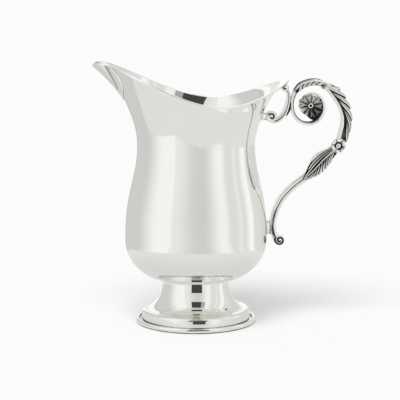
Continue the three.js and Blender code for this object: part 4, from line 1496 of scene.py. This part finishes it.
class OBJECT_OT_jug_flowers(JugStep, bpy.types.Operator):
    """Cast the two small flowers, the two faces of the rosette and its hub"""

    bl_idname = "object.jug_flowers"
    bl_label = "Flowers and rosette"

    def execute(self, context):
        for side, face in SIDES.items():
            cast_piece(context, "six_petal_flower_" + side, "flower_" + side, cast_flower, face)
            cast_piece(context, "grooved_rosette_" + side, "rosette_" + side, cast_rosette, face)
        cast_piece(context, "ringed_hub", "rosette_hub", cast_hub)
        return {"FINISHED"}


# Stage

# Camera: its place from the jug's axis, bearing and pitch in degrees, lens and shift
CAMERA_PLACE = (-60.4 * MM, -627.1 * MM, 150.0 * MM)
CAMERA_BEARING = 5.5
CAMERA_PITCH = 8.87
CAMERA_LENS = 136.5
CAMERA_SHIFT = 4.4 / 400
# Soft lamp: spread and tilt in degrees
LAMP_SPREAD = 32
LAMP_TILT = (25, -12)
FLOOR_HALF = 12.0
FLOOR_DROP = 0.05 * MM
# Light on the tent's cloth, and its steps: the bearings from the camera, to its right, between which
# the light changes, and the change
TENT_BASE = 0.85
TENT_STEPS = [
    (-166, -160, 0.2), (-152, -146, -0.45), (-145, -135, 0.07), (-102, -58, 0.33), (-39, -34, -0.113),
    (-34, 6, -0.205), (12, 42, 0.297), (44, 57, -0.192), (66, 71, 0.08), (74, 79, -0.08),
    (80, 94, 0.235), (97, 105, -0.244), (112, 140, -0.07), (150, 168, 0.35),
]
# Light close to the foot and further out, before the steps begin
EVEN_LIGHT = (0.73, 0.82)
TENT_RADIUS = 0.21
TENT_HEIGHT = 0.5
ROOF_HALF = 0.22
# Dark gap under the roof: how far it goes towards the camera and to its right
ROOF_GAP = ((-0.03, 0.2), (-0.02, 0.09))
ROOF_GAP_DROP = 0.01
# Even cloths: how much light each gives, and whether it can be seen through from below
CLOTHS = {
    "black_cloth": (0.06, False),
    "grey_cloth": (0.42, False),
    "lid_cloth": (0.8, False),
    "neck_cloth": (0.805, True),
    "top_cloth": (1.2, False),
}
# Reach of the shelf that the neck reflects: bearing and radius
NECK_SHELF = [
    (-100, 0.072), (-85, 0.095), (-34, 0.099), (-19, 0.125), (9, 0.19),
    (37, 0.205), (70, 0.205), (95, 0.19), (180, 0.17),
]
# Screens round the jug: two edges, each a radius and a height, the bearings from the camera, and the cloth.
# The dark ones are for the foot and the inside of the rim.
# The shelf and the lid keep the low ones off the body.
SCREENS = {
    "tent": ((TENT_RADIUS, 0.0), (TENT_RADIUS, TENT_HEIGHT), (-180, 180), "tent_cloth"),
    "apron": ((0.0262, 0.0002), (TENT_RADIUS, 0.0002), (-180, 180), "tent_cloth"),
    "neck_shelf": ((NECK_SHELF, 0.053), (0.07, 0.053), (-100, 180), "neck_cloth"),
    "dark_gap": ((0.2, 0.14), (0.2, 0.3), (-14, 19), "black_cloth"),
    "grey_gap": ((0.2, 0.14), (0.2, 0.3), (19, 32), "grey_cloth"),
    "shelf": ((0.13, 0.0201), (0.032, 0.0201), (-45, 52), "shelf_cloth"),
    "dark_shelf": ((0.05, 0.0199), (0.12, 0.0199), (-5, 19), "black_cloth"),
    "dark_strip": ((0.05, 0.004), (0.05, 0.0199), (-12, 19), "black_cloth"),
    "low_strip": ((0.032, 0.0033), (0.032, 0.0056), (-3.6, 13.3), "black_cloth"),
    "low_lid": ((0.0306, 0.0057), (0.0322, 0.0057), (-3.6, 13.3), "lid_cloth"),
}
SCREEN_COLUMNS = 120


def finish_cloth(tree, one_sided, sockets):
    """Ends a dull cloth. A one-sided cloth can be seen through from below."""
    shader = surface(tree, {"Specular IOR Level": 0.0, **sockets})
    if one_sided:
        below = Wire.node(tree, "ShaderNodeNewGeometry", {}, {}, "Backfacing")
        clear = Wire.node(tree, "ShaderNodeBsdfTransparent", {}, {})
        shader = Wire.node(tree, "ShaderNodeMixShader", {}, {0: below, 1: shader, 2: clear})
    finish_material(tree, shader)


def lit_cloth(name, near, far, one_sided):
    """Cloth whose light is even up to a near radius and changes with the bearing from a far radius."""
    material, tree = blank_material(name)
    place = object_place(tree)
    turn = Wire.node(tree, "ShaderNodeTexGradient", {"gradient_type": "RADIAL"}, {"Vector": place}, "Fac")
    bearing = (turn - 0.5) * 360.0
    light = TENT_BASE
    for start, end, change in TENT_STEPS:
        light = light + ease(tree, bearing, start, end) * change
    flat = stretch(tree, place, 1.0, 1.0, 0.0)
    away = Wire.node(tree, "ShaderNodeVectorMath", {"operation": "LENGTH"}, {0: flat}, "Value")
    even = EVEN_LIGHT[0] + ease(tree, away, 0.3 * near, near) * (EVEN_LIGHT[1] - EVEN_LIGHT[0])
    finish_cloth(tree, one_sided, {
        "Base Color": solid((0.0, 0.0, 0.0)),
        "Roughness": 1.0,
        "Emission Color": even + (light - even) * ease(tree, away, near, far),
        "Emission Strength": 1.0,
    })
    return material


def plain_cloth(name, rgb, glow, one_sided=False):
    """Even cloth with a faint weave."""
    material, tree = blank_material(name)
    weave = noise(tree, object_place(tree), 40.0)
    finish_cloth(tree, one_sided, {
        "Base Color": blend(tree, weave * 0.02, solid(rgb), solid(0.9 * part for part in rgb)),
        "Roughness": 0.9,
        "Emission Color": solid((1.0, 1.0, 1.0)),
        "Emission Strength": glow,
    })
    return material


def stage_mesh(name, points, faces, material):
    mesh = bpy.data.meshes.new(name)
    mesh.from_pydata([[float(part) for part in point] for point in points], [], faces)
    mesh.materials.append(material)
    thing = bpy.data.objects.new(name, mesh)
    bpy.context.scene.collection.objects.link(thing)
    return thing


def tent_mesh(name, points, faces, material):
    """Part of the tent, turned to the camera, which only the silver's reflections show."""
    thing = stage_mesh(name, points, faces, material)
    thing.visible_camera = False
    thing.visible_diffuse = False
    thing.visible_shadow = False
    thing.location.x = jug_axis()
    thing.rotation_euler.z = math.radians(-90 - CAMERA_BEARING)


def screen(name, first, second, bearings, material):
    """Screen round the jug between two bearings, from one edge to another."""
    steps = np.linspace(*bearings, SCREEN_COLUMNS)
    angle = np.radians(steps)
    points = []
    for radius, high in (first, second):
        if isinstance(radius, list):
            radius = np.interp(steps, *zip(*radius))
        points += zip(radius * np.cos(angle), radius * np.sin(angle), np.full_like(angle, high))
    count = SCREEN_COLUMNS
    faces = [[k, k + 1, count + k + 1, count + k] for k in range(count - 1)]
    tent_mesh(name, points, faces, material)


def card_corners(ahead, right, height):
    """Corners of a level card, from how far it goes towards the camera and to its right."""
    (x0, x1), (y0, y1) = ahead, right
    return [(x0, y0, height), (x1, y0, height), (x1, y1, height), (x0, y1, height)]


def lay_floor(look):
    edge = (-FLOOR_HALF, FLOOR_HALF)
    pale = plain_cloth("pale_floor", look.floor, look.floor_glow)
    floor = stage_mesh("floor", card_corners(edge, edge, 0), [[0, 1, 2, 3]], pale)
    floor.location.z = -FLOOR_DROP


def pitch_tent():
    """Sets the screens and the roof that the silver reflects."""
    black = (0.0, 0.0, 0.0)
    cloths = {name: plain_cloth(name, black, *look) for name, look in CLOTHS.items()}
    cloths["tent_cloth"] = lit_cloth("tent_cloth", near=0.1, far=0.125, one_sided=False)
    cloths["shelf_cloth"] = lit_cloth("shelf_cloth", near=0.0585, far=0.07, one_sided=True)
    for name, (first, second, bearings, cloth) in SCREENS.items():
        screen(name, first, second, bearings, cloths[cloth])
    edge = (-ROOF_HALF, ROOF_HALF)
    roof = card_corners(edge, edge, TENT_HEIGHT)
    gap = card_corners(*ROOF_GAP, TENT_HEIGHT - ROOF_GAP_DROP)
    tent_mesh("tent_roof", roof, [[0, 1, 2, 3]], cloths["top_cloth"])
    tent_mesh("roof_gap", gap, [[0, 1, 2, 3]], cloths["black_cloth"])


def hang_lamp(scene, look):
    light = bpy.data.lights.new("soft_lamp", "SUN")
    light.energy = look.sun_level
    light.angle = math.radians(LAMP_SPREAD)
    lamp = bpy.data.objects.new("soft_lamp", light)
    lamp.rotation_euler = (math.radians(LAMP_TILT[0]), math.radians(LAMP_TILT[1]), 0)
    lamp.visible_glossy = False
    scene.collection.objects.link(lamp)


def light_sky(scene, look):
    """World that lights the jug softly and looks white to the camera and in reflections."""
    world = bpy.data.worlds.new("studio")
    scene.world = world
    world.use_nodes = True
    tree = world.node_tree
    tree.nodes.clear()
    camera_ray = Wire.node(tree, "ShaderNodeLightPath", {}, {}, "Is Camera Ray")
    seen = camera_ray + camera_ray.beside("Is Glossy Ray") + camera_ray.beside("Is Transmission Ray")
    white = solid((1.0, 1.0, 1.0))
    soft = Wire.node(tree, "ShaderNodeBackground", {}, {"Color": white, "Strength": look.sky_level})
    bright = Wire.node(tree, "ShaderNodeBackground", {}, {"Color": white, "Strength": 1.0})
    mixed = Wire.node(tree, "ShaderNodeMixShader", {}, {0: seen, 1: soft, 2: bright})
    Wire.node(tree, "ShaderNodeOutputWorld", {}, {"Surface": mixed})


def set_camera(scene):
    lens = bpy.data.cameras.new("camera")
    lens.lens = CAMERA_LENS
    lens.sensor_width = 36.0
    lens.shift_x = CAMERA_SHIFT
    lens.clip_start = 0.01
    lens.clip_end = 50.0
    camera = bpy.data.objects.new("camera", lens)
    camera.location = (CAMERA_PLACE[0] + jug_axis(), CAMERA_PLACE[1], CAMERA_PLACE[2])
    camera.rotation_euler = (math.radians(90 - CAMERA_PITCH), 0, math.radians(-CAMERA_BEARING))
    scene.collection.objects.link(camera)
    scene.camera = camera


class OBJECT_OT_jug_stage(JugStep, bpy.types.Operator):
    """Set the floor, the light tent, the lamp and the camera"""

    bl_idname = "object.jug_stage"
    bl_label = "Stage"

    def execute(self, context):
        scene, look = context.scene, context.scene.jug_stage
        lay_floor(look)
        pitch_tent()
        hang_lamp(scene, look)
        light_sky(scene, look)
        set_camera(scene)
        scene.view_settings.view_transform = "Standard"
        return {"FINISHED"}


class VIEW3D_PT_oil_jug(bpy.types.Panel):
    """Sizes, colours and building steps of the jug"""

    bl_label = "Oil jug"
    bl_space_type = "VIEW_3D"
    bl_region_type = "UI"
    bl_category = "Oil jug"

    def draw(self, context):
        for name in GROUPS:
            box = self.layout.box()
            group = getattr(context.scene, name)
            for key in group.__annotations__:
                box.prop(group, key)
        for step in STEPS:
            self.layout.operator(step.bl_idname)


GROUPS = {
    "jug_body": JugBodySizes,
    "jug_foot": JugFootSizes,
    "jug_handle": JugHandleSizes,
    "jug_finish": JugFinish,
    "jug_stage": JugStage,
}
STEPS = [
    OBJECT_OT_jug_body, OBJECT_OT_jug_foot, OBJECT_OT_jug_pads, OBJECT_OT_jug_bracket, OBJECT_OT_jug_arch,
    OBJECT_OT_jug_upper_leaf, OBJECT_OT_jug_stem, OBJECT_OT_jug_flowers, OBJECT_OT_jug_stage,
]


def register():
    for name, group in GROUPS.items():
        bpy.utils.register_class(group)
        setattr(bpy.types.Scene, name, bpy.props.PointerProperty(type=group))
    for kind in [*STEPS, VIEW3D_PT_oil_jug]:
        bpy.utils.register_class(kind)


def unregister():
    for kind in reversed([*STEPS, VIEW3D_PT_oil_jug]):
        bpy.utils.unregister_class(kind)
    for name, group in GROUPS.items():
        delattr(bpy.types.Scene, name)
        bpy.utils.unregister_class(group)


def main():
    register()
    bpy.ops.object.jug_body()
    bpy.ops.object.jug_foot()
    bpy.ops.object.jug_pads()
    bpy.ops.object.jug_bracket()
    bpy.ops.object.jug_arch()
    bpy.ops.object.jug_upper_leaf()
    bpy.ops.object.jug_stem()
    bpy.ops.object.jug_flowers()
    bpy.ops.object.jug_stage()


if __name__ == "__main__":
    main()
